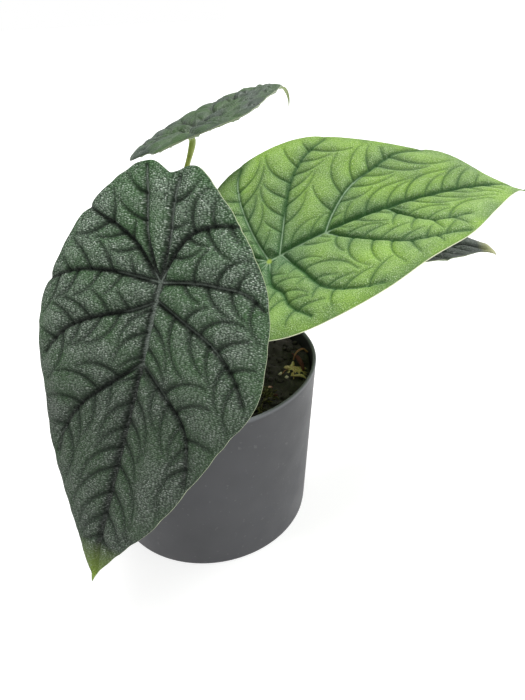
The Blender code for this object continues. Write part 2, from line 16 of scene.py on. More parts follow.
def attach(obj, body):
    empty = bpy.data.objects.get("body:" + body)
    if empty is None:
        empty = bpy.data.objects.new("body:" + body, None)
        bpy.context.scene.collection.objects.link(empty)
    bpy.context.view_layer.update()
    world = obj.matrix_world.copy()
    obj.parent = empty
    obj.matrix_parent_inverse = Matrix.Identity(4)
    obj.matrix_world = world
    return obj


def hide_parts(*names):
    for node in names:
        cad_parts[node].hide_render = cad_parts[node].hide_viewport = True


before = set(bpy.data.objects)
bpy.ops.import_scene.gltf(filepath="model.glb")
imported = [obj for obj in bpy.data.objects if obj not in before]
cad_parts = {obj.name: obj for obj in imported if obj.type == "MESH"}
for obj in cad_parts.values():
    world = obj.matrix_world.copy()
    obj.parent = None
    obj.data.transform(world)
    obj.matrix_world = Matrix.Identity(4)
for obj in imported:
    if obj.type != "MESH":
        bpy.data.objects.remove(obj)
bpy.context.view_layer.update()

MM = 0.001

# Camera of the photograph, in millimetres and degrees
CAMERA_PLACE = (0.0, -275.1, 265.8)
CAMERA_HEADING = 7.48
CAMERA_PITCH = -30.94
CAMERA_ROLL = -2.73
CAMERA_LENS = 36.0 * 580.0 / 700.0

# Light and floor: a bright horizon, a dimmer sky that is brighter on the right, a broad sun above the
# plant, and a floor that glows a little
SKY_STRENGTH = 0.32
SIDE_STRENGTH = 1.0
SUN_STRENGTH = 3.2
SUN_WIDTH = 28.0
SUN_PLACE = (0.1, 0.08, 1.0)
FLOOR_GLOW = 0.8
FLOOR_SIZE = 12000.0
FRONT_SHARE = 0.6

# Pot
POT_HEIGHT = 100.0
POT_TOP_RADIUS = 65.0
POT_BASE_RADIUS = 57.5
POT_WALL = 1.8
POT_FLOOR = 2.4
POT_FOOT_ROUND = 1.6
POT_SIDES = 160
TAPER = (POT_TOP_RADIUS - POT_BASE_RADIUS) / POT_HEIGHT

# Soil and the loose things on it
SOIL_LEVEL = 91.0
SOIL_WAVES = ((0.8, 0.21, 0.17, 1.3), (0.5, 0.43, -0.31, 0.0), (0.4, 0.37, 0.52, 3.6))
SOIL_SIDES = 220
SOIL_STEP = 0.9
SOIL_SHRINK = 0.6
CRUMB_LAYERS = ((1.3, 4.2, 0.0, 2), (0.75, 2.1, 7.3, 9), (0.3, 1.0, -3.1, 4))
CRUMB_SINK = 0.9
CRUMBS = 420
CRUMBS_FROM, CRUMBS_TO = 13.0, 59.5
LITTER_SEED = 5
STRAND_STEPS = 8
LUMP_SIDES = 7
LUMP_TILTS = (-50, -10, 30, 65)
SHEATHS = 5
SHEATH_THICKNESS = 0.4
SHEATH_HALF_TURN = 52
SHEATH_ROWS = 9
SHEATH_SIDES = 7
SHEATH_SEED = 8

# Tufts of dry moss: where each starts, where it points, how many strands
DRY_MOSS = (
    ((51.4, -8.6), (54.6, -17.2), 16), ((51.0, -9.4), (50.2, -19.8), 12), ((48.4, -10.6), (53.0, -12.0), 8),
    ((50.2, -19.4), (56.0, -20.6), 3), ((52.4, -4.9), (52.4, -9.5), 3),
)

# Patches of green moss: x, y, how many strands
GREEN_MOSS = (
    (33.6, -27.5, 26), (34.6, -31.5, 12), (32.6, -37.0, 14), (27.0, -44.0, 16),
    (-38.0, 30.0, 40), (5.0, 48.0, 30),
)

# Perlite grains beside the moss: x, y, size
WHITE_GRAINS = ((43.1, -15.3, 1.9), (43.7, -14.8, 1.5), (45.4, -22.4, 2.1))

# Corm and stems
CORM_X, CORM_Y = -5.0, 6.0
CORM_RADIUS = 9.0
CORM_BOTTOM = 64.0
CORM_TOP = 95.0
CORM_SIDES = 96
LEAF_SCARS = 5
FOOT_RING = 5.2
FOOT_RISE = 7.0
NECK_LENGTH = 6.0
NECK_START = 0.88
NECK_EASE = 0.08
NECK_SWELL = 0.35
TAPER_END = 0.62
STEM_SIDES = 28
STEM_STEP = 1.2
STEM_SINK = 0.8
STEM_FLUTES = 0.025
FLUTE_COUNT = 7
GAP = 0.3

# Blades: bending, relief and secondary veins as in the part
BLADE_THICKNESS = 1.1
BEND_STEP = 0.5
SIDE_REACH = 80.0
SIDE_EASE = 6.0
MIDRIB_END = 0.965
PILLOW = 2.0
PILLOW_WIDTH = 2.4
SWELL = 2.3
SWELL_WIDTH = 7.0
SWELL_FADE = 4.0
GROOVE = 1.1
GROOVE_WIDTH = 1.3
VEIN_FADE = 0.45
MIDRIB_DEEPER = 1.5
BRANCH_DEPTH = 0.9
BRANCH_FADE = 0.4
UNDER_RIB = 0.7
UNDER_RIB_EASE = 6.0
HUB_FLAT = 2.6
HUB_EDGE = 6.0
MARGIN_EASE = 7.0
MARGIN_KEEP = 0.33
BRANCH_JITTER = 1.3
BRANCH_LAST = 0.93
BRANCH_SCATTER = 9.0
BRANCH_BACK_EXTRA = 12.0
BRANCH_TURN_SCATTER = 0.25
BRANCH_STEP = 1.5
BRANCH_FREE = 4.2
BRANCH_CLEAR = 1.6
BRANCH_LONGEST = 42.0
BRANCH_SHORTEST = 5.0

# Fine relief that the part's solids are too coarse for
FACE_TRIANGLES = 150000
FINEST_STEP = 0.44
UNDER_STEP = 1.05
LINE_CLEAR = 0.62
MARGIN_THIN = 0.6
MARGIN_THIN_WIDTH = 1.6
MARGIN_ROUND = 0.1
RIDGE_WIDTH = 0.36
RIDGE_HEIGHT = 0.35
RIDGE_FADE = 0.12
RIDGE_PLAIN = (0.0, 0.06)
PEBBLE = 0.12
PEBBLE_LENGTH = 1.25
PEBBLE_JITTER = 0.8
PEBBLE_SLOPE = 1.25
WRINKLE = 0.2
WRINKLE_LENGTH = 1.6
# Painted shadow beside the midrib: its width and where along the leaf it ends
MIDRIB_SHADOW_WIDTH = 3.4
MIDRIB_SHADOW_END = 0.75
VEIN_COLOUR_FADE = 0.35
VEIN_COLOUR_TAPER = 0.25
MIDRIB_WIDER = 1.25
# How fast the painted shadow beside the midrib rises from the stem and fades at its end
MIDRIB_SHADOW_RISE = 8.0
MIDRIB_SHADOW_FALL = 2.5
HUB_FADE = 22.0
CUT_EASE = 3.0
CUT_AT_VEIN = 0.6
MARGIN_SPACING = 1.3
SCALLOP_WIDTH = 3.2
CREASE_REACH = 12.0

# Where along the blade its half-widths are given, as shares of its length from the stem to the tip
STATIONS = (-0.30, -0.17, -0.02, 0.14, 0.30, 0.45, 0.60, 0.74, 0.86, 0.94)
# Side veins of an average leaf, as shares of its length, for the two leaves that show little of theirs
PLAIN_VEINS = (
    ((0.00, 0.00), (-0.14, 0.055), (-0.26, 0.075), (-0.34, 0.090)),
    ((0.00, 0.00), (-0.09, 0.080), (-0.16, 0.180), (-0.19, 0.270)),
    ((0.00, 0.00), (-0.01, 0.110), (0.00, 0.230), (0.05, 0.370)),
    ((0.06, 0.00), (0.11, 0.100), (0.17, 0.220), (0.27, 0.340)),
    ((0.26, 0.00), (0.35, 0.110), (0.44, 0.190), (0.58, 0.245)),
    ((0.48, 0.00), (0.54, 0.080), (0.62, 0.140), (0.72, 0.150)),
    ((0.66, 0.00), (0.72, 0.060), (0.80, 0.080)),
)

# Leaf shapes are the part's. These values are the scene's own: scallop draws the margin in at the veins, cut
# deepens the creases, midrib_ridge widens the pale ridge on the midrib, ridges tells where each vein has one.
FRONT = dict(
    name="front", seed=3, scallop=0.9, relief=1.15, cut=0.3, midrib_ridge=2.4,
    pitch=9.6, first=12.0, start=70.0, turn=3.4, end=-8.0, band=2.6,
    ridges={0: (0.0, 0.2), 1: (0.45, 0.95), 2: (0.4, 0.95), 5: (0.0, 0.3), 6: (0.0, 0.8),
            7: (0.0, 0.2), 8: (0.0, 0.6), 10: (0.0, 0.3)},
    attach=(-11.6, -59.8, 172.2), azimuth=219.3, elevation=-61.6, roll=3.6,
    length=124.5, drip=0.0, tip_curl=0.0, tip_side=0.0,
    right=(25.0, 40.0, 49.0, 53.5, 50.0, 41.0, 32.5, 21.0, 11.0, 4.5),
    left=(23.0, 37.0, 48.0, 52.0, 52.0, 43.0, 33.5, 24.0, 12.0, 4.0),
    lobes=((-46.5, 10.5), (-46.0, -12.5)), sinus=-42.5,
    droop=(-0.0024, 0.000019), lobe_bend=-0.006, twist=0.0002,
    side_slope=(-0.15, -0.06), side_curve=(0.0024, 0.0030),
    veins=(
        ((0, 0), (-10, 5), (-20, 8.5), (-37, 9.5), (-44, 10.5)),
        ((0, 0), (-10, -1.5), (-18, -2.5), (-31, -3), (-41, -5)),
        ((0, 0), (-13.5, 12.5), (-20, 23.5), (-25, 37)),
        ((0, 0), (-14, -6.5), (-21.5, -13), (-25.5, -23.5), (-26.5, -36)),
        ((0, 0), (-0.5, 11), (-0.5, 24.5), (2, 39), (8, 51)),
        ((0, 0), (-2.5, -16.5), (-3, -29.5), (-2.5, -39), (2, -47)),
        ((8, 0), (13.5, 10.5), (20, 27), (27.5, 38.5), (39, 45.5)),
        ((7, 0), (13, -14.5), (19.5, -29.5), (28.5, -40.5), (38, -47)),
        ((33, 0), (45, 13), (56, 23), (67.5, 27.5), (77, 28)),
        ((33, 0), (43.5, -14.5), (52.5, -25), (62.5, -29.5), (74, -31)),
    ),
    foot_angle=-120.0, stem_radius=(3.0, 1.7),
    stem=((-15, -12, 124), (-18, -35, 153)),
)

RIGHT = dict(
    name="right", seed=11, scallop=0.3, relief=0.85, cut=0.3, midrib_ridge=1.5,
    pitch=9.6, first=8.0, start=66.0, turn=2.9, end=2.0, band=4.2,
    ridges={0: (0.0, 0.22), 4: (0.1, 0.7), 6: (0.0, 0.85), 8: (0.0, 0.25), 10: (0.0, 0.45)},
    attach=(40.4, -6.8, 155.0), azimuth=95.7, elevation=27.7, roll=-25.0,
    length=142.0, drip=0.0, tip_curl=0.0, tip_side=3.3,
    right=(28.0, 46.0, 57.0, 60.0, 57.0, 49.0, 41.0, 26.0, 12.5, 5.4),
    left=(28.5, 44.0, 56.5, 60.5, 58.0, 46.5, 34.0, 24.0, 6.2, -1.6),
    lobes=((-53.0, 14.0), (-53.0, -14.0)), sinus=-49.5,
    droop=(0.0040, 0.000008), lobe_bend=-0.004, twist=0.0006,
    side_slope=(-0.26, -0.29), side_curve=(0.0016, 0.0012),
    veins=(
        ((0, 0), (-20, 7), (-36, 10), (-48, 12)),
        ((0, 0), (-20, -7), (-36, -10), (-48, -12)),
        ((0, 0), (-14, 13), (-23, 26), (-27, 38)),
        ((0, 0), (-14, -13), (-23, -27), (-26, -39)),
        ((0, 0), (-2.5, 17.5), (1.5, 28), (3, 40), (10, 53)),
        ((0, 0), (-2, -18), (-1.5, -36), (1.5, -49), (6, -57)),
        ((7, 0), (13.5, 19), (19.5, 38), (31, 49), (42, 53)),
        ((6, 0), (13.5, -14), (20, -26), (27.5, -37.5), (38, -47), (50, -52.5)),
        ((31, 0), (42.5, 14), (54, 26), (64, 33.5), (86, 38)),
        ((31, 0), (38.5, -9), (51, -19.5), (65.5, -25.5), (80, -30.5), (93, -29.5)),
        ((63, 0), (70, 13), (78, 23), (92, 26)),
    ),
    foot_angle=-25.0, stem_radius=(3.0, 1.8),
    stem=((7, 2, 112), (22, -2, 131)),
)

BACK = dict(
    name="back", seed=23, scallop=1.2, relief=1.0, cut=0.15, midrib_ridge=1.5,
    pitch=9.0, first=9.0, start=70.0, turn=3.4, end=-10.0, band=2.6, ridges={0: (0.0, 0.3)},
    attach=(9.5, 65.0, 206.3), azimuth=45.9, elevation=10.0, roll=8.0,
    length=92.0, drip=11.0, tip_curl=1.7, tip_side=0.0, tip_width=0.02,
    right=(18.0, 31.5, 36.5, 37.0, 32.5, 28.0, 23.5, 16.3, 8.0, 3.0),
    left=(23.0, 36.0, 42.0, 47.0, 41.5, 33.5, 25.0, 17.8, 8.8, 3.2),
    lobes=((-36.5, 10.5), (-36.5, -10.5)), sinus=-32.0,
    droop=(-0.0045, 0.00009), lobe_bend=0.0018, twist=-0.0014,
    side_slope=(-0.16, 0.2), side_curve=(0.0029, 0.0002),
    foot_angle=155.0, stem_radius=(2.8, 1.4),
    stem=((-13, 23, 124), (-3, 51, 165)),
)

SMALL = dict(
    name="small", seed=37, scallop=0.3, relief=1.0, cut=0.4, midrib_ridge=1.5,
    pitch=7.0, first=7.0, start=66.0, turn=3.0, end=0.0, band=2.6, ridges={0: (0.0, 0.3)},
    attach=(98.0, 26.0, 143.5), azimuth=95.0, elevation=0.5, roll=-12.0,
    length=77.0, drip=5.0, tip_curl=0.8, tip_side=1.5, tip_width=0.055,
    right=(14.0, 21.5, 26.5, 28.0, 26.8, 22.8, 18.5, 13.0, 7.0, 4.6),
    left=(15.4, 24.3, 30.0, 32.0, 31.5, 28.0, 22.5, 15.5, 8.5, 5.4),
    lobes=((-31.5, 7.7), (-31.5, -7.7)), sinus=-28.5,
    droop=(0.0021, 0.000008), lobe_bend=0.003, twist=-0.0004,
    side_slope=(-0.29, -0.19), side_curve=(0.0026, 0.0029),
    foot_angle=65.0, stem_radius=(2.4, 1.2),
    stem=((7, 16, 113), (38, 23, 124), (76, 26, 127)),
)

LEAVES = (FRONT, RIGHT, BACK, SMALL)

# Leaf looks. Colours: panel between veins and its greener patch, crest for the painted highlight on crests
# and bump tops, crease for the painted shade in creases of secondary veins and between bumps, main vein (its
# own darker colour with painted shade of its groove) and the pale ridge on it, speck for painted glints, edge
# of the rim, tip, underside and its rib. vein_shade_and_tint is the colour near the veins and the stem,
# painted shade where the blade slopes into the vein grooves together with a greyer tone of the leaf, and
# shade_to_tip is painted shade that darkens the blade towards its tip, each with its share. Shares: glint of
# painted glints on specks, gap of painted shade between bumps, sheen of painted highlight on them, patchy of
# patches, crease_shade of painted shade in creases, blush of vein_shade_and_tint at the stem, midrib_shadow
# of painted shadow beside the midrib, dot of light green at the stem. Sizes: grain of a bump, wrinkle for how
# much longer it is across, ripple for the share of folds, grain_height in the material, rough in the mesh,
# vein_width, fold_width.
# tip_from is where the tip's colour starts and is full, and lit_rim_side the side whose rim shows its pale
# colour, partly a painted highlight; along the other side the rim is painted shade.
SHARED_LOOK = dict(
    gap=0.4, sheen=0.3, grain=0.8, wrinkle=1.3, ripple=0.4, patchy=0.0, vein_width=1.2, fold_width=0.9,
    midrib_shadow=0.0, shade_to_tip=("#000000", 0.0), dot=0.3, lit_rim_side=1.0,
)
LOOKS = {
    "front": dict(
        SHARED_LOOK, panel="#41603f", patch="#376a2b", crest="#8ca18a", crease="#152616", vein="#1a221b",
        ridge="#7d897e", speck="#e4eee3", edge="#9aa583", tip="#7f9a2c", under="#5d7a52", rib="#8ba073",
        vein_shade_and_tint=("#1a291c", 0.45), shade_to_tip=("#0e180f", 0.66), glint=1.0, gap=0.85, sheen=0.7, patchy=0.32,
        crease_shade=0.85, blush=0.0, dot=0.0, grain=0.68, wrinkle=1.7, ripple=0.25, grain_height=0.5, rough=1.0,
        vein_width=1.5, fold_width=1.1, tip_from=(0.86, 1.0), lit_rim_side=-1.0),
    "right": dict(
        SHARED_LOOK, panel="#64873f", patch="#8ab33a", crest="#a4cb6a", crease="#2b5a1f", vein="#306126",
        ridge="#a9c4a0", speck="#eaf5dc", edge="#dfe6c0", tip="#7aa847", under="#8fb56c", rib="#b5cf94",
        vein_shade_and_tint=("#56795a", 0.6), glint=0.55, sheen=0.4, crease_shade=0.72, blush=0.75, midrib_shadow=0.75, dot=0.9, grain=0.62,
        wrinkle=1.1, ripple=0.15, grain_height=0.25, rough=0.9, vein_width=1.25, fold_width=0.64,
        tip_from=(0.95, 1.1)),
    "back": dict(
        SHARED_LOOK, panel="#344335", patch="#40602c", crest="#68776a", crease="#283627", vein="#465442",
        ridge="#87958a", speck="#a4b0a2", edge="#8f9a7c", tip="#a3b17a", under="#6d845f", rib="#93a67d",
        vein_shade_and_tint=("#2b372b", 0.3), glint=0.25, gap=0.3, patchy=0.5, crease_shade=0.5, blush=0.3, grain_height=0.2,
        rough=0.35, tip_from=(0.9, 1.0)),
    "small": dict(
        SHARED_LOOK, panel="#28312a", patch="#2a3728", crest="#434e44", crease="#1c251c", vein="#1a221c",
        ridge="#7c877d", speck="#8c978b", edge="#7f8a6a", tip="#a2a472", under="#66795c", rib="#8c9c7a",
        vein_shade_and_tint=("#222b24", 0.3), glint=0.3, crease_shade=0.8, blush=0.2, grain_height=0.3, rough=0.5,
        tip_from=(0.9, 1.01)),
}
VEIN_SHARE = 0.9
HUB_DOT = "#a3bd3c"


def rounded_curve(points, pieces=10):
    """A smooth curve through points, as a fine polyline (Catmull-Rom)."""
    points = np.asarray(points, float)
    ahead, behind = 2 * points[-1] - points[-2], 2 * points[0] - points[1]
    padded = np.vstack([behind, points, ahead])
    share = np.linspace(0, 1, pieces, endpoint=False)[:, None]
    curve = []
    for a, b, c, d in zip(padded, padded[1:], padded[2:], padded[3:]):
        curve.append(0.5 * (2 * b + (c - a) * share + (2 * a - 5 * b + 4 * c - d) * share ** 2
                            + (3 * b - a - 3 * c + d) * share ** 3))
    return np.vstack(curve + [points[-1:]])


def respaced(line, step):
    """The same polyline with its points about one step apart."""
    line = np.asarray(line, float)
    run = np.concatenate([[0], np.cumsum(np.linalg.norm(np.diff(line, axis=0), axis=1))])
    count = max(1, round(run[-1] / step))
    places = np.linspace(0, run[-1], count + 1)
    return np.stack([np.interp(places, run, line[:, axis]) for axis in range(line.shape[1])], axis=1)


def leaf_frame(leaf):
    """Directions at the stem: along the midrib, to the leaf's right, and up from its upper face."""
    azimuth, elevation, roll = (math.radians(leaf[key]) for key in ("azimuth", "elevation", "roll"))
    along = np.array([math.cos(elevation) * math.sin(azimuth), math.cos(elevation) * math.cos(azimuth),
                      math.sin(elevation)])
    right = np.cross(along, (0.0, 0.0, 1.0))
    right /= np.linalg.norm(right)
    up = np.cross(right, along)
    return (along, math.cos(roll) * right + math.sin(roll) * up,
            math.cos(roll) * up - math.sin(roll) * right)


def running_integral(values, step):
    """Integral of evenly spaced values from the first one, by the trapezium rule."""
    return np.concatenate([[0], np.cumsum((values[1:] + values[:-1]) / 2) * step])


def midrib_bend(leaf, s):
    """Where the bent midrib lies for each s: distance along, drop below, and its slope angle."""
    grid = np.arange(0, leaf["length"] + leaf["drip"] + 4 * BEND_STEP, BEND_STEP)
    curl_start = leaf["length"] - leaf["drip"] / 2
    curl_length = max(1.5 * leaf["drip"], BEND_STEP)
    slope = leaf["droop"][0] * grid + leaf["droop"][1] * grid ** 2
    slope = slope + leaf["tip_curl"] * np.clip((grid - curl_start) / curl_length, 0, 1)
    ahead, size = s >= 0, np.abs(s)
    bends = []
    for angle in (slope, leaf["lobe_bend"] * grid):
        run = running_integral(np.cos(angle), BEND_STEP), running_integral(np.sin(angle), BEND_STEP), angle
        bends.append([np.interp(size, grid, values) for values in run])
    (along, drop, tilt), (back_along, back_drop, back_tilt) = bends
    return (np.where(ahead, along, -back_along), np.where(ahead, drop, back_drop),
            np.where(ahead, tilt, -back_tilt))


def side_bend(leaf, t):
    """Where the cross-section lies for each t: distance out, drop below, and its slope angle."""
    grid = np.arange(0, SIDE_REACH, BEND_STEP)
    out, drop, slope = np.zeros(len(t)), np.zeros(len(t)), np.zeros(len(t))
    for side, chosen in ((0, t >= 0), (1, t < 0)):
        angle = leaf["side_slope"][side] * (1 - np.exp(-grid / SIDE_EASE)) + leaf["side_curve"][side] * grid
        size = np.abs(t[chosen])
        out[chosen] = np.interp(size, grid, running_integral(np.cos(angle), BEND_STEP))
        drop[chosen] = np.interp(size, grid, running_integral(np.sin(angle), BEND_STEP))
        slope[chosen] = np.interp(size, grid, angle)
    return out * np.sign(t), drop, slope


def smooth_blade(leaf, flat):
    """Places and upward normals of the smooth bent blade for flat points (s, t)."""
    along, right, up = leaf_frame(leaf)
    ahead, sink, slope = midrib_bend(leaf, flat[:, 0])
    out, drop, tilt = side_bend(leaf, flat[:, 1])
    turned_up = np.sin(slope)[:, None] * along + np.cos(slope)[:, None] * up
    turn = (leaf["twist"] * flat[:, 0])[:, None]
    side_way = np.cos(turn) * right + np.sin(turn) * turned_up
    up_way = np.cos(turn) * turned_up - np.sin(turn) * right
    place = (np.array(leaf["attach"]) + ahead[:, None] * along - sink[:, None] * up
             + out[:, None] * side_way - drop[:, None] * up_way)
    normal = np.cos(tilt)[:, None] * up_way + (np.sign(flat[:, 1]) * np.sin(tilt))[:, None] * side_way
    return place, normal


def outline(leaf):
    """The blade's margin as a closed line, round from the tip by the right side to the notch and back."""
    length, tip = leaf["length"], (leaf["length"] + leaf["drip"], leaf["tip_side"])
    sides = []
    for side, sign, lobe in (("right", 1, leaf["lobes"][0]), ("left", -1, leaf["lobes"][1])):
        points = [(share * length, sign * width) for share, width in zip(STATIONS, leaf[side])]
        points.reverse()
        if leaf["drip"]:
            points.insert(0, (length, leaf["tip_side"] / 3 + sign * leaf["tip_width"] * length))
        sides.append(rounded_curve([tip] + points + [lobe, (leaf["sinus"], 0.0)]))
    return np.vstack([sides[0], sides[1][::-1][1:-1]])


def inside(border, points):
    """Which points lie inside a closed line."""
    result = np.zeros(len(points), bool)
    x, y = points[:, 0], points[:, 1]
    for (ax, ay), (bx, by) in zip(border, np.roll(border, -1, axis=0)):
        crosses = (ay > y) != (by > y)
        if crosses.any():
            at = ax + (y - ay) / (by - ay if by != ay else 1e-9) * (bx - ax)
            result ^= crosses & (x < at)
    return result


def distance_to(line, points, reach=None):
    """Distance of each point to a polyline, and how far along it, as a share, the nearest place is."""
    best = np.full(len(points), 1e9)
    where = np.zeros(len(points))
    if reach is not None:
        low, high = line.min(axis=0) - reach, line.max(axis=0) + reach
        chosen = np.flatnonzero(((points > low) & (points < high)).all(axis=1))
        best[chosen], where[chosen] = distance_to(line, points[chosen])
        return best, where
    run = np.concatenate([[0], np.cumsum(np.linalg.norm(np.diff(line, axis=0), axis=1))])
    for k in range(len(line) - 1):
        leg = line[k + 1] - line[k]
        size = max(leg @ leg, 1e-9)
        away = points - line[k]
        share = np.clip(away @ leg / size, 0, 1)
        away -= share[:, None] * leg
        gap = np.hypot(away[:, 0], away[:, 1])
        nearer = gap < best
        best[nearer] = gap[nearer]
        where[nearer] = (run[k] + share[nearer] * math.sqrt(size)) / run[-1]
    return best, where


def primary_veins(leaf):
    """Midrib first, then the main side veins, as smooth lines."""
    lines = leaf.get("veins")
    if not lines:
        size = leaf["length"]
        lines = [[(s * size, sign * t * size) for s, t in line] for line in PLAIN_VEINS for sign in (1, -1)]
    end = MIDRIB_END * leaf["length"]
    midrib = [(0.0, 0.0), (0.45 * end, 0.0), (0.85 * end, 0.0), (end, leaf["tip_side"])]
    return [rounded_curve(line) for line in [midrib] + list(lines)]


def branch_seeds(veins, leaf, draw):
    """Starting points of the secondary veins: place, heading of the parent, side, and the parent's number."""
    seeds = []
    for number, vein in enumerate(veins):
        length = np.linalg.norm(np.diff(vein, axis=0), axis=1).sum()
        fine = respaced(vein, BEND_STEP)
        for side in (1, -1):
            run = leaf["first"] + (leaf["pitch"] / 2 if side < 0 else 0.0)
            while run < BRANCH_LAST * length:
                k = min(int(run / length * (len(fine) - 1)), len(fine) - 2)
                heading = math.atan2(*(fine[k + 1] - fine[k])[::-1])
                seeds.append((fine[k], heading, side, number))
                run += leaf["pitch"] + draw.uniform(-BRANCH_JITTER, BRANCH_JITTER)
    return seeds


def secondary_veins(leaf, border, veins):
    """Grow the secondary veins together, step by step, until each meets another vein or the margin."""
    draw = random.Random(leaf["seed"])
    growing = []
    for place, heading, side, number in branch_seeds(veins, leaf, draw):
        front = (side > 0) == (place[1] < 0) or abs(place[1]) < 0.5
        angle = leaf["start"] + (0 if front else BRANCH_BACK_EXTRA)
        angle += draw.uniform(-BRANCH_SCATTER, BRANCH_SCATTER)
        turn = leaf["turn"] * draw.uniform(1 - BRANCH_TURN_SCATTER, 1 + BRANCH_TURN_SCATTER)
        between_basal = number in (1, 2) and (side > 0) == (number == 1)
        growing.append(dict(line=[place], heading=heading, side=side, number=number, angle=angle, turn=turn,
                            open=not between_basal))
    rails = [respaced(vein, BRANCH_STEP) for vein in veins]
    for _ in range(int(BRANCH_LONGEST / BRANCH_STEP)):
        for branch in growing:
            if not branch["open"]:
                continue
            way = branch["heading"] + branch["side"] * math.radians(branch["angle"])
            ahead = branch["line"][-1] + BRANCH_STEP * np.array([math.cos(way), math.sin(way)])
            young = len(branch["line"]) * BRANCH_STEP < BRANCH_FREE
            others = [rail for number, rail in enumerate(rails) if not (young and number == branch["number"])]
            others += [np.array(other["line"]) for other in growing if other is not branch]
            near = min(np.linalg.norm(other - ahead, axis=1).min() for other in others)
            at_margin = np.linalg.norm(border - ahead, axis=1).min() < leaf["band"]
            if at_margin or not inside(border, ahead[None])[0] or (near < BRANCH_CLEAR and not young):
                branch["open"] = False
                continue
            branch["line"].append(ahead)
            branch["angle"] = max(leaf["end"], branch["angle"] - branch["turn"] * BRANCH_STEP)
    return [np.array(branch["line"]) for branch in growing
            if (len(branch["line"]) - 1) * BRANCH_STEP >= BRANCH_SHORTEST]


def hashed(i, j, seed):
    """Repeatable random numbers from 0 to 1, one for each pair of whole numbers."""
    mixed = np.sin(i * 127.1 + j * 311.7 + seed * 74.7) * 43758.5453
    return mixed - np.floor(mixed)


def pebbles(places, length, width, seed):
    """Rounded bumps, one to a cell of a jittered grid: 1 on a bump's top, 0 between bumps."""
    grid = places / (length, width)
    cell = np.floor(grid)
    nearest = np.full(len(grid), 9.0)
    for i in (-1, 0, 1):
        for j in (-1, 0, 1):
            column, row = cell[:, 0] + i, cell[:, 1] + j
            middle_x = column + 0.5 + PEBBLE_JITTER * (hashed(column, row, seed) - 0.5)
            middle_y = row + 0.5 + PEBBLE_JITTER * (hashed(column, row, seed + 5) - 0.5)
            nearest = np.minimum(nearest, np.hypot(grid[:, 0] - middle_x, grid[:, 1] - middle_y))
    return np.clip(1 - PEBBLE_SLOPE * nearest, 0, 1)


def wrinkles(places, length, width, seed):
    """Wandering ridges, closer along the leaf than across it: 1 on a ridge, 0 well off it."""
    total = np.zeros(len(places))
    for scale, share in ((1.0, 0.65), (0.55, 0.35)):
        grid = places / (scale * length, scale * width)
        cell = np.floor(grid)
        ease = (grid - cell) ** 2 * (3 - 2 * (grid - cell))
        corners = [[hashed(cell[:, 0] + i, cell[:, 1] + j, seed) for j in (0, 1)] for i in (0, 1)]
        rows = [row[0] + (row[1] - row[0]) * ease[:, 1] for row in corners]
        value = rows[0] + (rows[1] - rows[0]) * ease[:, 0]
        total += share * (1 - np.clip(4 * np.abs(value - 0.5), 0, 1))
    return total


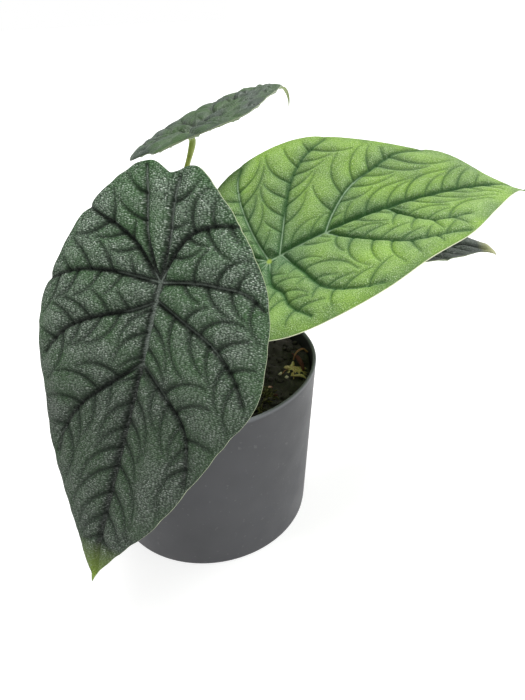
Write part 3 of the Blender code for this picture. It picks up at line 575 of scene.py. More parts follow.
def blade_relief(leaf, border, veins, branches, flat):
    """Heights and colour guides of the blade at flat points, as named arrays."""
    crease, groove, line = np.zeros(len(flat)), np.zeros(len(flat)), np.zeros(len(flat))
    fine_crease, ridge = np.zeros(len(flat)), np.zeros(len(flat))
    look = LOOKS[leaf["name"]]
    swell = np.full(len(flat), 1e9)
    for number, vein in enumerate(veins):
        away, share = distance_to(vein, flat)
        depth = 1 - VEIN_FADE * share
        deeper, wider = (MIDRIB_DEEPER, MIDRIB_WIDER) if number == 0 else (1.0, 1.0)
        crease = np.maximum(crease, depth * np.exp(-away / PILLOW_WIDTH))
        groove = np.maximum(groove, deeper * depth * np.exp(-(away / GROOVE_WIDTH / wider) ** 2))
        fading = 0 if number == 0 else share
        line_width = look["vein_width"] * wider * (1 - VEIN_COLOUR_TAPER * fading)
        line = np.maximum(line, (1 - VEIN_COLOUR_FADE * fading) * np.exp(-(away / line_width) ** 2))
        low, high = leaf["ridges"].get(number, RIDGE_PLAIN)
        shown = np.clip((share - low) / RIDGE_FADE + 1, 0, 1) * np.clip((high - share) / RIDGE_FADE + 1, 0, 1)
        width = RIDGE_WIDTH * (leaf["midrib_ridge"] if number == 0 else 1.0)
        ridge = np.maximum(ridge, shown * np.exp(-(away / width) ** 2))
        swell = np.minimum(swell, away + SWELL_FADE * share ** 2)
    for branch in branches:
        away, share = distance_to(branch, flat, CREASE_REACH)
        depth = BRANCH_DEPTH - BRANCH_FADE * share
        crease = np.maximum(crease, depth * np.exp(-away / PILLOW_WIDTH))
        fine_crease = np.maximum(fine_crease, depth * np.exp(-(away / look["fold_width"]) ** 2))
    edge = distance_to(np.vstack([border, border[:1]]), flat)[0]
    ease = MARGIN_KEEP + (1 - MARGIN_KEEP) * np.clip(edge / MARGIN_EASE, 0, 1)
    from_hub = np.linalg.norm(flat, axis=1)
    along = flat[:, 0] / leaf["length"]
    # Mask of the painted shadow beside the midrib, on the left half of the blade
    midrib_shadow = np.exp(flat[:, 1] / MIDRIB_SHADOW_WIDTH) * (flat[:, 1] < 0)
    midrib_shadow *= np.clip(MIDRIB_SHADOW_RISE * along, 0, 1) * np.clip((MIDRIB_SHADOW_END - along) * MIDRIB_SHADOW_FALL, 0, 1)
    centre = np.clip((from_hub - HUB_FLAT) / (HUB_EDGE - HUB_FLAT), 0, 1)
    height = ease * (PILLOW * (1 - crease) + SWELL * (1 - np.exp(-swell / SWELL_WIDTH)))
    height = leaf["relief"] * height - GROOVE * groove
    height -= leaf["cut"] * np.clip(edge / CUT_EASE, 0, 1) * np.maximum(fine_crease, CUT_AT_VEIN * line)
    rib = UNDER_RIB * np.clip(edge / UNDER_RIB_EASE, 0, 1) * np.minimum(groove, 1.0)
    return dict(height=-GROOVE + centre * (height + GROOVE), rib=UNDER_RIB + centre * (rib - UNDER_RIB),
                vein=line, crease=fine_crease, ridge=ridge, edge=edge, crest=ease * (1 - crease),
                swell=1 - np.exp(-swell / SWELL_WIDTH), hub=np.exp(-from_hub / HUB_FADE),
                along=along, midrib_shadow=midrib_shadow)


def kept_within(margin, line, clear):
    """The first stretch of a line that stays inside a margin and clear of it."""
    away = distance_to(np.vstack([margin, margin[:1]]), line)[0]
    leaves = np.flatnonzero(~inside(margin, line) | (away < clear))
    return line[:leaves[0]] if len(leaves) else line


def doubled_area(line):
    """Twice the area inside a closed line, negative where it runs clockwise."""
    x, y = line[:, 0], line[:, 1]
    return np.sum(x * np.roll(y, -1) - y * np.roll(x, -1))


def scalloped(margin, lines, depth):
    """A margin drawn in by up to a depth where veins come near it."""
    away = np.min([distance_to(line, margin, CREASE_REACH)[0] for line in lines], axis=0)
    ahead = np.roll(margin, -1, axis=0) - np.roll(margin, 1, axis=0)
    inward = np.stack([-ahead[:, 1], ahead[:, 0]], axis=1)
    inward /= np.linalg.norm(inward, axis=1)[:, None]
    depth = math.copysign(depth, doubled_area(margin))
    return margin + depth * np.exp(-(away / SCALLOP_WIDTH) ** 2)[:, None] * inward


def flat_net(margin, lines, step, clear):
    """Triangles of a flat net inside a margin: the margin, lines, and an even field of points between."""
    points = [tuple(point) for point in margin]
    edges = [(k, (k + 1) % len(margin)) for k in range(len(margin))]
    for line in lines:
        net = kept_within(margin, respaced(line, step), step)
        if len(net) < 2:
            continue
        edges += [(len(points) + k, len(points) + k + 1) for k in range(len(net) - 1)]
        points += [tuple(point) for point in net]
    tree = KDTree(len(points))
    for number, (s, t) in enumerate(points):
        tree.insert((s, t, 0.0), number)
    tree.balance()
    low, high = margin.min(axis=0), margin.max(axis=0)
    rows = np.arange(low[1], high[1], step * math.sqrt(3) / 2)
    field = []
    for number, t in enumerate(rows):
        row = np.arange(low[0] + (number % 2) * step / 2, high[0], step)
        field.append(np.stack([row, np.full(len(row), t)], axis=1))
    field = np.vstack(field)
    field = field[inside(margin, field)]
    points += [(s, t) for s, t in field if tree.find((s, t, 0.0))[2] > clear * step]
    net = delaunay_2d_cdt(points, edges, [], 1, 1e-4)
    return np.array([tuple(point) for point in net[0]]), np.array([tuple(face) for face in net[2]])


def rim_of(faces):
    """Outer edges of a net, each as a pair of points with the net on its left, in order round it."""
    sides = np.vstack([faces[:, (0, 1)], faces[:, (1, 2)], faces[:, (2, 0)]])
    known = set(map(tuple, sides))
    following = {a: b for a, b in known if (b, a) not in known}
    start = min(following)
    ring, place = [start], following[start]
    while place != start:
        ring.append(place)
        place = following[place]
    return ring


def add_object(name, data):
    """Put an object in the scene."""
    item = bpy.data.objects.new(name, data)
    bpy.context.scene.collection.objects.link(item)
    return item


def add_mesh(name, points, faces, materials, attributes=None, face_materials=None):
    """Make a smooth mesh object from points in millimetres, in the part's frame."""
    mesh = bpy.data.meshes.new(name)
    mesh.from_pydata(np.asarray(points, float) * MM, [], faces)
    for key, values in (attributes or {}).items():
        values = np.asarray(values, np.float32)
        kind, field = ("FLOAT", "value") if values.ndim == 1 else ("FLOAT_VECTOR", "vector")
        mesh.attributes.new(key, kind, "POINT").data.foreach_set(field, values.ravel())
    for made in materials:
        mesh.materials.append(made)
    if face_materials is not None:
        mesh.polygons.foreach_set("material_index", np.asarray(face_materials, np.int32))
    mesh.update()
    mesh.shade_smooth()
    return add_object(name, mesh)


def place_piece(item, slot, *nodes):
    """Let a piece ride on the part's one body and hide the nodes that it stands for; slot, for its finish, is
    not used.
    """
    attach(item, "root")
    if nodes:
        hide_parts(*nodes)


def matched_rims(upper_flat, upper_faces, lower_flat, lower_faces):
    """The rims of the two nets, point for point."""
    upper_ring = rim_of(upper_faces)
    known = {tuple(np.round(lower_flat[k], 3)): k for k in rim_of(lower_faces)}
    return upper_ring, [known[tuple(np.round(upper_flat[k], 3))] for k in upper_ring]


def rim_middle(top, low):
    """Points half-way down the rim, a little outside it, so that the margin is rounded."""
    outward = np.cross(np.roll(top, -1, axis=0) - np.roll(top, 1, axis=0), top - low)
    outward /= np.linalg.norm(outward, axis=1)[:, None]
    return (top + low) / 2 + MARGIN_ROUND * outward


def leaf_grain(leaf, flat):
    """Height of the mesh's own bumps and wrinkles at flat points."""
    look = LOOKS[leaf["name"]]
    bumps = pebbles(flat, PEBBLE_LENGTH, PEBBLE_LENGTH * look["wrinkle"], leaf["seed"])
    folds = wrinkles(flat, WRINKLE_LENGTH, WRINKLE_LENGTH * look["wrinkle"] ** 2, leaf["seed"])
    return (1 - look["ripple"]) * PEBBLE * bumps + look["ripple"] * WRINKLE * folds


def make_blade(leaf):
    """One leaf blade: a fine upper face, a coarser lower face with raised ribs, and a thin rounded margin."""
    name, border, veins = leaf["name"], outline(leaf), primary_veins(leaf)
    branches = secondary_veins(leaf, border, veins)
    area = abs(doubled_area(border)) / 2
    step = max(FINEST_STEP, math.sqrt(area / FACE_TRIANGLES * 4 / math.sqrt(3)))
    margin = respaced(np.vstack([border, border[:1]]), MARGIN_SPACING * step)[:-1]
    margin = scalloped(margin, veins + branches, leaf["scallop"])
    upper_flat, upper_faces = flat_net(margin, veins + branches, step, LINE_CLEAR)
    lower_flat, lower_faces = flat_net(margin, veins, UNDER_STEP, LINE_CLEAR)

    guides = blade_relief(leaf, border, veins, branches, upper_flat)
    place, normal = smooth_blade(leaf, upper_flat)
    grain = leaf_grain(leaf, upper_flat)
    rough = LOOKS[name]["rough"] * grain * (1 - guides["vein"])
    upper = place + (guides["height"] + RIDGE_HEIGHT * guides["ridge"] + rough)[:, None] * normal
    under = blade_relief(leaf, border, veins, branches, lower_flat)
    place, normal = smooth_blade(leaf, lower_flat)
    thickness = BLADE_THICKNESS - MARGIN_THIN * np.exp(-under["edge"] / MARGIN_THIN_WIDTH)
    lower = place + (under["height"] - thickness - under["rib"])[:, None] * normal

    upper_ring, lower_ring = matched_rims(upper_flat, upper_faces, lower_flat, lower_faces)
    points = np.vstack([upper, rim_middle(upper[upper_ring], lower[lower_ring]), lower])
    count, ring = len(upper), len(upper_ring)
    faces = upper_faces.tolist() + (lower_faces[:, ::-1] + count + ring).tolist()
    for k in range(ring):
        after = (k + 1) % ring
        rows = [(upper_ring[k], upper_ring[after]), (count + k, count + after),
                (count + ring + lower_ring[k], count + ring + lower_ring[after])]
        faces += [(a, c, d, b) for (a, b), (c, d) in zip(rows, rows[1:])]
    slots = [0] * len(upper_faces) + [1] * len(lower_faces) + [2] * (2 * ring)

    joined = {key: np.concatenate([guides[key], guides[key][upper_ring], under[key]])
              for key in ("vein", "crease", "ridge", "crest", "swell", "hub", "along", "midrib_shadow")}
    flat = np.vstack([upper_flat, upper_flat[upper_ring], lower_flat])
    joined["flat"] = np.hstack([flat, np.zeros((len(flat), 1))])
    joined["grain"] = np.concatenate([grain / max(grain), np.zeros(ring + len(lower))])
    materials = [upper_material(name), under_material(name), margin_material(name)]
    item = add_mesh("leaf_" + name, points, faces, materials, joined, slots)
    place_piece(item, "leaf_" + name, "blade_" + name)


def colour(code):
    """Linear colour of a hex code."""
    parts = [int(code[k:k + 2], 16) / 255 for k in (1, 3, 5)]
    return tuple(part / 12.92 if part <= 0.04045 else ((part + 0.055) / 1.055) ** 2.4
                 for part in parts) + (1.0,)


class Nodes:
    """Short ways to add nodes to one node tree."""

    def __init__(self, tree):
        self.tree = tree

    def add(self, kind, inputs=None, **settings):
        """A new node; each input is a value, a hex colour or another node's output."""
        made = self.tree.nodes.new("ShaderNode" + kind)
        for key, value in settings.items():
            setattr(made, key, value)
        for key, value in (inputs or {}).items():
            if isinstance(value, bpy.types.NodeSocket):
                self.tree.links.new(value, made.inputs[key])
            else:
                made.inputs[key].default_value = colour(value) if isinstance(value, str) else value
        return made

    def number(self, operation, *values):
        """Arithmetic on numbers."""
        return self.add("Math", dict(enumerate(values)), operation=operation).outputs[0]

    def vector(self, operation, *values):
        """Arithmetic on vectors."""
        return self.add("VectorMath", dict(enumerate(values)), operation=operation).outputs[0]

    def axis(self, vector, name):
        """One coordinate of a vector."""
        return self.add("SeparateXYZ", {0: vector}).outputs[name]

    def guide(self, name):
        """A number stored on the mesh's points."""
        return self.add("Attribute", attribute_name=name).outputs["Fac"]

    def noise(self, place, scale, detail=3.0, roughness=0.5):
        """Noise from 0 to 1."""
        inputs = {"Vector": place, "Scale": scale, "Detail": detail, "Roughness": roughness}
        return self.add("TexNoise", inputs).outputs["Fac"]

    def stretched(self, value, low, high, new_low=0.0, new_high=1.0):
        """A number moved from one range to another and kept within it."""
        inputs = {"Value": value, "From Min": low, "From Max": high, "To Min": new_low, "To Max": new_high}
        return self.add("MapRange", inputs).outputs["Result"]

    def ramp(self, guide, low, high, most=1.0):
        """A guide's share: none where it is low, and the most where it is high."""
        return self.stretched(self.guide(guide), low, high, 0.0, most)


class Paint(Nodes):
    """A material whose colour is laid on in coats, each over the ones before it."""

    def __init__(self, name, base, roughness, specular=0.5):
        self.material = bpy.data.materials.new(name)
        self.material.use_nodes = True
        super().__init__(self.material.node_tree)
        self.shader = self.tree.nodes["Principled BSDF"]
        self.shader.inputs["Roughness"].default_value = roughness
        self.shader.inputs["Specular IOR Level"].default_value = specular
        self.shade = base

    def place(self):
        """Place on the object, in metres."""
        return self.add("TexCoord").outputs["Object"]

    def flat_place(self, length=1.0, width=1.0):
        """Flat leaf coordinates in millimetres, divided by a length along and a width across the leaf."""
        place = self.add("Attribute", attribute_name="flat").outputs["Vector"]
        return self.vector("MULTIPLY", place, (1 / length, 1 / width, 1.0))

    def coat(self, share, shade):
        """Lay a colour over what is there."""
        self.shade = self.add("Mix", {0: share, 6: self.shade, 7: shade}, data_type="RGBA").outputs[2]

    def tip(self, look):
        """Lay on the colour of the leaf's tip."""
        self.coat(self.ramp("along", *look["tip_from"], 0.9), look["tip"])

    def bump(self, height, depth):
        """Bump the surface by a height map whose full height is given in millimetres."""
        bumped = self.add("Bump", {"Height": height, "Distance": depth * MM, "Strength": 1.0})
        self.tree.links.new(bumped.outputs["Normal"], self.shader.inputs["Normal"])

    def done(self):
        """The finished material."""
        self.tree.links.new(self.shade, self.shader.inputs["Base Color"])
        return self.material


def grain_nodes(paint, look):
    """Height of the fine bumps and folds, and where the glint on a bump shows."""
    long, wide = look["grain"], look["grain"] * look["wrinkle"]
    warp = paint.add("TexNoise", {"Vector": paint.flat_place(), "Scale": 0.5, "Detail": 1.0}).outputs["Color"]
    grain_place = paint.vector("MULTIPLY_ADD", warp, (1.2, 1.2, 0.0), paint.flat_place(long, wide))
    bumps = paint.add("TexVoronoi", {"Vector": grain_place, "Scale": 1.0, "Randomness": 0.75},
                      voronoi_dimensions="2D", feature="F1")
    cells = bumps.outputs["Distance"]
    chance = paint.add("SeparateColor", {0: bumps.outputs["Color"]}).outputs["Red"]
    fold_noise = paint.noise(paint.flat_place(1.55 * long, 2.5 * wide), 1.0, 3.0, 0.6)
    off_fold = paint.number("ABSOLUTE", paint.number("SUBTRACT", fold_noise, 0.5))
    folds = paint.stretched(off_fold, 0.1, 0.015)
    mesh_folds = paint.number("MULTIPLY", paint.guide("grain"), 0.5)
    folds = paint.number("MULTIPLY_ADD", folds, 0.75, mesh_folds)
    soft = paint.add("Mix", {0: look["ripple"], 2: paint.stretched(cells, 0.6, 0.1), 3: folds},
                     data_type="FLOAT").outputs[0]
    pin = paint.number("MULTIPLY", paint.stretched(cells, 0.43, 0.15), paint.stretched(chance, 0.35, 0.95))
    return soft, paint.number("MULTIPLY", pin, paint.stretched(paint.guide("crest"), 0.15, 0.6, 0.3, 1.0))


def upper_material(name):
    """Upper face of a leaf: pebbled, with painted shade in creases, between bumps, beside the midrib and
    towards the tip, darker veins partly painted shade of their grooves, painted highlights on crests and
    bumps, pale ridges, and pale specks that are painted glints.
    """
    look = LOOKS[name]
    paint = Paint("leaf_upper_" + name, look["panel"], 0.42)
    place = paint.flat_place()
    patches = paint.stretched(paint.noise(place, 0.045, 2.0), 0.42, 0.62)
    paint.coat(patches, look["patch"])
    # Painted highlight: the crest colour laid unevenly on the tops of the pillows between veins
    lit = paint.stretched(paint.noise(place, 0.16), 0.3, 0.7, 0.35, 1.0)
    paint.coat(paint.number("MULTIPLY", paint.ramp("crest", 0.35, 0.95, 0.85), lit), look["crest"])
    # Painted shade near the veins, where the blade slopes into their grooves, with a greyer tone of the leaf;
    # the same colour is laid near the stem
    vein_shade_and_tint, vein_shade_and_tint_share = look["vein_shade_and_tint"]
    paint.coat(paint.ramp("swell", 0.75, 0.05, vein_shade_and_tint_share), vein_shade_and_tint)
    paint.coat(paint.ramp("hub", 0.1, 0.75, look["blush"]), vein_shade_and_tint)
    soft, pin = grain_nodes(paint, look)
    uneven = paint.stretched(paint.noise(place, 0.4, 3.0, 0.7), 0.36, 0.62, 0.1, 1.0)
    # Painted shade: the crease colour in the gaps between the fine bumps
    paint.coat(paint.stretched(soft, 0.5, 0.1, 0.0, look["gap"]), look["crease"])
    # Painted highlight: the crest colour as a sheen on the tops of the fine bumps
    bright = paint.stretched(soft, 0.5, 0.95, 0.0, look["sheen"])
    paint.coat(paint.number("MULTIPLY", bright, uneven), look["crest"])
    # Painted glints: pale specks on the tops of the bumps
    glint = paint.number("MULTIPLY", uneven, look["glint"])
    paint.coat(paint.number("MULTIPLY", pin, glint), look["speck"])
    paint.coat(paint.number("MULTIPLY", patches, look["patchy"]), look["patch"])
    # Painted shade: the blade darkens from its upper third down to its tip
    shade_to_tip, shade_to_tip_share = look["shade_to_tip"]
    paint.coat(paint.ramp("along", -0.2, 0.45, shade_to_tip_share), shade_to_tip)
    # Painted shade in the creases of the secondary veins
    paint.coat(paint.ramp("crease", 0.1, 0.8, look["crease_shade"]), look["crease"])
    # Painted shadow of the groove's wall, beside the midrib on one side
    paint.coat(paint.number("MULTIPLY", paint.guide("midrib_shadow"), look["midrib_shadow"]), look["vein"])
    # The veins' own darker colour, with painted shade of their grooves
    paint.coat(paint.ramp("vein", 0.1, 0.8, VEIN_SHARE), look["vein"])
    paint.coat(paint.ramp("ridge", 0.2, 0.7, 0.7), look["ridge"])
    paint.tip(look)
    paint.coat(paint.ramp("hub", 0.92, 0.96, look["dot"]), HUB_DOT)
    paint.tree.links.new(paint.stretched(soft, 0.2, 0.9, 0.6, 0.36), paint.shader.inputs["Roughness"])
    paint.bump(soft, look["grain_height"])
    return paint.done()


def under_material(name):
    """Underside of a leaf: paler and smoother, with light ribs."""
    look = LOOKS[name]
    paint = Paint("leaf_under_" + name, look["under"], 0.5, 0.4)
    place = paint.flat_place()
    paint.coat(paint.stretched(paint.noise(place, 0.08, 4.0), 0.35, 0.65, 0.0, 0.4), look["panel"])
    paint.coat(paint.ramp("crease", 0.1, 0.8, 0.6), look["rib"])
    paint.coat(paint.ramp("vein", 0.1, 0.7, 0.95), look["rib"])
    paint.tip(look)
    paint.bump(paint.noise(place, 1.6, 4.0, 0.6), 0.08)
    return paint.done()


def margin_material(name):
    """Thin rim of a leaf: its pale colour along one side, partly a painted highlight, and along the other
    painted shade nearly as dark as the leaf.
    """
    look = LOOKS[name]
    paint = Paint("leaf_margin_" + name, look["panel"], 0.45, 0.4)
    place = paint.flat_place()
    # The rim's pale colour only along one side, partly a painted highlight; along the other side painted
    # shade keeps it as dark as the leaf
    across = paint.number("MULTIPLY", paint.axis(place, "Y"), look["lit_rim_side"])
    paint.coat(paint.stretched(across, 2.0, 14.0, 0.15, 1.0), look["edge"])
    paint.tip(look)
    paint.bump(paint.noise(place, 2.0, 2.0), 0.05)
    return paint.done()


def stem_path(leaf):
    """Middle line of a stem, from its foot on the corm to its seat under the blade."""
    up = leaf_frame(leaf)[2]
    seat = np.array(leaf["attach"]) - (GROOVE + BLADE_THICKNESS + UNDER_RIB + GAP) * up
    turn = math.radians(leaf["foot_angle"])
    foot = np.array([CORM_X + FOOT_RING * math.cos(turn), CORM_Y + FOOT_RING * math.sin(turn),
                     CORM_TOP + GAP])
    arriving = seat - leaf["stem"][-1]
    neck = up + arriving / np.linalg.norm(arriving)
    neck *= NECK_LENGTH / np.linalg.norm(neck)
    return rounded_curve([foot, foot + (0, 0, FOOT_RISE)] + list(leaf["stem"]) + [seat - neck, seat]), up


def smooth_step(value):
    """Ease from 0 to 1."""
    value = np.clip(value, 0, 1)
    return value * value * (3 - 2 * value)


def loft(first, rings, last):
    """Points and faces of a closed body through rings of points, with a pole point at either end."""
    count = len(rings[0])
    points = np.vstack([[first], *rings, [last]])
    end, top = len(points) - 1, 1 + (len(rings) - 1) * count
    faces = []
    for k in range(count):
        after = (k + 1) % count
        faces.append((0, 1 + after, 1 + k))
        for row in range(1, top, count):
            faces.append((row + k, row + after, row + count + after, row + count + k))
        faces.append((end, top + k, top + after))
    return points, faces


def circle(sides):
    """Points round a unit circle."""
    angles = np.arange(sides) * 2 * math.pi / sides
    return np.stack([np.cos(angles), np.sin(angles)], axis=1)


def level_ring(radius, sides, height, centre=(0.0, 0.0)):
    """Points round a level circle."""
    return np.hstack([radius * circle(sides) + centre, np.full((sides, 1), height)])


def tube(path, radii, sides, flutes=0.0, flatness=1.0):
    """Points and faces of a closed round or flattened tube along a path, with shallow flutes."""
    axes = np.gradient(path, axis=0)
    axes /= np.linalg.norm(axes, axis=1)[:, None]
    round_ring = circle(sides)
    swell = 1 + flutes * np.cos(FLUTE_COUNT * np.arange(sides) * 2 * math.pi / sides)
    way, rings = np.cross(axes[0], (0.13, 0.11, 1.0)), []
    if np.linalg.norm(way) < 0.3:
        way = np.array((1.0, 0.0, 0.0))
    for centre, axis, radius in zip(path, axes, radii):
        way = way - axis * (way @ axis)
        way /= np.linalg.norm(way)
        other = np.cross(axis, way)
        ring = round_ring[:, :1] * way + flatness * round_ring[:, 1:] * other
        rings.append(centre + radius * swell[:, None] * ring)
    return loft(path[0], rings, path[-1])


def make_stem(leaf):
    """One fluted stem: a broad foot on the corm, a long taper, and a swollen neck under the blade."""
    fine, up = stem_path(leaf)
    path = respaced(fine, STEM_STEP)
    path = np.vstack([path[0] - (0, 0, STEM_SINK), path, path[-1] + STEM_SINK * up])
    thick, thin = leaf["stem_radius"]
    share = np.linspace(0, 1, len(path))
    radii = thick + (thin - thick) * np.minimum(1.0, share / TAPER_END)
    radii += NECK_SWELL * thin * smooth_step((share - NECK_START) / NECK_EASE)
    points, faces = tube(path, radii, STEM_SIDES, flutes=STEM_FLUTES)
    guides = {"along": np.concatenate([[0], np.repeat(share, STEM_SIDES), [1]])}
    item = add_mesh("stem_" + leaf["name"], points, faces, [stem_material(leaf["name"])], guides)
    place_piece(item, "stem", "petiole_" + leaf["name"])


def stem_material(name):
    """Waxy yellow-green stem, darker and browner at its foot, with fine streaks along it."""
    paint = Paint("stem_" + name, "#8c9a3c", 0.38)
    place = paint.place()
    streaks = paint.noise(paint.vector("MULTIPLY", place, (900.0, 900.0, 90.0)), 1.0, 4.0)
    streaks = paint.stretched(streaks, 0.35, 0.65)
    paint.coat(streaks, "#a3ad55")
    paint.coat(paint.ramp("along", 0.35, 0.0, 0.85), "#6d6a35")
    paint.coat(paint.stretched(paint.noise(place, 420.0, 3.0, 0.7), 0.6, 0.72, 0.0, 0.5), "#55602a")
    paint.coat(paint.ramp("along", 0.9, 1.0, 0.6), "#9fb465")
    paint.bump(streaks, 0.06)
    return paint.done()


def pot_radius(height):
    """Outer radius of the pot's tapered wall."""
    return POT_BASE_RADIUS + TAPER * height


def lathe(name, profile, sides, material, centre=(0.0, 0.0)):
    """A closed turned body from a profile of (radius, height), bottom pole to top pole."""
    rings = [level_ring(radius, sides, height, centre) for radius, height in profile]
    points, faces = loft((*centre, profile[0][1]), rings, (*centre, profile[-1][1]))
    return add_mesh(name, points, faces, [material])


def arc(radius, height, size, first, last):
    """Profile points round part of a circle, from one angle in degrees to another."""
    turns = [math.radians(angle) for angle in range(first, last + 1, 15)]
    return [(radius + size * math.cos(turn), height + size * math.sin(turn)) for turn in turns]


def make_pot():
    """The tapered pot with its rounded lip and foot."""
    lip = POT_WALL / 2
    foot = pot_radius(0) - POT_FOOT_ROUND
    profile = [(foot - 3.0, 0.0)] + arc(foot, POT_FOOT_ROUND, POT_FOOT_ROUND, -90, 0)
    profile += [(pot_radius(height), height) for height in (3.0, 25.0, 50.0, 75.0, 96.0)]
    profile += arc(pot_radius(POT_HEIGHT) - lip, POT_HEIGHT - lip, lip, 0, 180)
    profile += [(pot_radius(height) - POT_WALL, height) for height in (96.0, 60.0, POT_FLOOR + 1.5)]
    profile += [(pot_radius(0) - POT_WALL - 1.5, POT_FLOOR)]
    item = lathe("flower_pot", profile, POT_SIDES, pot_material())
    item.data.set_sharp_from_angle(angle=math.radians(40))
    place_piece(item, "pot", "pot")


def pot_material():
    """Anthracite moulded plastic with a fine matte grain, with painted shade on the inner face of the wall
    and a painted highlight along the lip.
    """
    paint = Paint("pot_plastic", "#37383b", 0.5, 0.45)
    place = paint.place()
    paint.coat(paint.stretched(paint.noise(place, 16.0, 4.0), 0.3, 0.7), "#3e3f43")
    height = paint.axis(place, "Z")
    flat_way = paint.vector("MULTIPLY", place, (1.0, 1.0, 0.0))
    radius = paint.add("VectorMath", {0: flat_way}, operation="LENGTH").outputs["Value"]
    from_taper = paint.number("MULTIPLY_ADD", height, -TAPER, radius)
    # Painted shade on the inner face of the wall
    paint.coat(paint.stretched(from_taper, 0.0568, 0.0562, 0.0, 0.75), "#141518")
    # Painted highlight along the lip
    paint.coat(paint.stretched(height, 0.0978, 0.0995, 0.0, 0.8), "#6d7074")
    paint.coat(paint.stretched(paint.noise(place, 380.0, 2.0), 0.66, 0.72, 0.0, 0.12), "#8a8a86")
    rough = paint.stretched(paint.noise(place, 70.0, 5.0), 0.3, 0.7, 0.46, 0.56)
    paint.tree.links.new(rough, paint.shader.inputs["Roughness"])
    paint.bump(paint.noise(place, 2600.0, 2.0), 0.03)
    return paint.done()


def soil_height(x, y):
    """Height of the lumpy soil at places."""
    return SOIL_LEVEL + sum(size * np.sin(along_x * x + along_y * y + phase)
                            for size, along_x, along_y, phase in SOIL_WAVES)


def soil_crumb(x, y):
    """Fine crumbs of the soil's surface, in layers of height, size, shift and seed."""
    places = np.stack([x, y], axis=1)
    return sum(height * pebbles(places + shift, size, size, seed)
               for height, size, shift, seed in CRUMB_LAYERS) - CRUMB_SINK


def ground(x, y):
    """Height of the crumbly surface at places."""
    return soil_height(x, y) + soil_crumb(x, y)


def level_at(x, y):
    """Height of the crumbly surface at one place."""
    return float(ground(np.array([x]), np.array([y]))[0])


def make_soil():
    """The potting mix: a crumbly top that meets the pot's wall, and a plain body below."""
    outer = pot_radius(SOIL_LEVEL) - POT_WALL - SOIL_SHRINK
    hole = CORM_RADIUS + GAP
    count = int((outer - hole) / SOIL_STEP)
    bottom, floor = POT_FLOOR + GAP, CORM_BOTTOM - GAP
    rings = [level_ring(pot_radius(bottom) - POT_WALL - SOIL_SHRINK, SOIL_SIDES, bottom)]
    for share in np.linspace(1, 0, count + 1):
        radius = hole + (outer - hole) * share
        flat = np.array([CORM_X, CORM_Y]) * (1 - share) + radius * circle(SOIL_SIDES)
        rings.append(np.hstack([flat, ground(flat[:, 0], flat[:, 1])[:, None]]))
    rings.append(level_ring(hole, SOIL_SIDES, floor, (CORM_X, CORM_Y)))
    points, faces = loft((0, 0, bottom), rings, (CORM_X, CORM_Y, floor))
    place_piece(add_mesh("potting_mix", points, faces, [soil_material()]), "soil", "soil")


def soil_material():
    """Moist dark peat with browner fibres."""
    paint = Paint("peat", "#332f2e", 0.9, 0.3)
    place = paint.place()
    paint.coat(paint.stretched(paint.noise(place, 260.0, 6.0, 0.7), 0.35, 0.7), "#484140")
    fibres = paint.noise(paint.vector("MULTIPLY", place, (300.0, 1500.0, 700.0)), 1.0)
    paint.coat(paint.stretched(fibres, 0.62, 0.72, 0.0, 0.6), "#46352a")
    paint.bump(paint.noise(place, 900.0, 5.0, 0.7), 0.5)
    return paint.done()


def add_joined(name, bodies, materials):
    """Many closed bodies as one mesh, each with its own tone from 0 to 1."""
    points, faces, tones = [], [], []
    draw = random.Random(name)
    for more_points, more_faces in bodies:
        faces += [tuple(len(points) + k for k in face) for face in more_faces]
        tones += [draw.random()] * len(more_points)
        points += list(more_points)
    return add_mesh(name, points, faces, materials, {"tone": tones})


def strand(draw, start, heading, length, curl, radius, lift=0.45, sides=6):
    """A thin curved fibre that rises a little from the soil and comes down again."""
    place = np.array([*start, level_at(*start) + radius])
    path = [place]
    for k in range(STRAND_STEPS):
        heading += curl / STRAND_STEPS
        rise = lift * (1 - 2 * (k + 0.5) / STRAND_STEPS) + draw.uniform(-0.1, 0.1)
        place = place + length / STRAND_STEPS * np.array([math.cos(heading), math.sin(heading), rise])
        path.append(place)
    taper = np.sqrt(1 - np.linspace(-0.9, 0.97, len(path)) ** 4)
    return tube(np.array(path), radius * taper, sides)


def lump(draw, x, y, size, sink=0.25):
    """A small irregular grain that sits in the soil."""
    level = level_at(x, y) + size * (0.5 - sink)
    stretch = [draw.uniform(0.7, 1.3), draw.uniform(0.6, 1.1), draw.uniform(0.5, 0.9)]
    turn = draw.uniform(0, 2 * math.pi)
    rings = []
    for tilt in LUMP_TILTS:
        ring = size / 2 * math.cos(math.radians(tilt)) * circle(LUMP_SIDES)
        ring = ring * [[draw.uniform(0.8, 1.2)] for _ in range(LUMP_SIDES)] * stretch[:2]
        x_turned = math.cos(turn) * ring[:, 0] - math.sin(turn) * ring[:, 1]
        y_turned = math.sin(turn) * ring[:, 0] + math.cos(turn) * ring[:, 1]
        height = size / 2 * math.sin(math.radians(tilt)) * stretch[2] * draw.uniform(0.85, 1.15)
        rings.append(np.stack([x + x_turned, y + y_turned, np.full(LUMP_SIDES, level + height)], axis=1))
    half = size / 2 * stretch[2]
    return loft((x, y, level - half), rings, (x, y, level + half))


def litter_material(name, dark, pale, roughness=0.75):
    """Dead plant matter or grit, streaked between two colours, each piece a little different."""
    paint = Paint(name, dark, roughness, 0.3)
    place = paint.place()
    streaks = paint.stretched(paint.noise(place, 700.0, 4.0, 0.6), 0.3, 0.7, 0.0, 0.5)
    paint.coat(paint.number("MULTIPLY_ADD", paint.guide("tone"), 0.5, streaks), pale)
    paint.bump(paint.noise(place, 1500.0), 0.15)
    return paint.done()


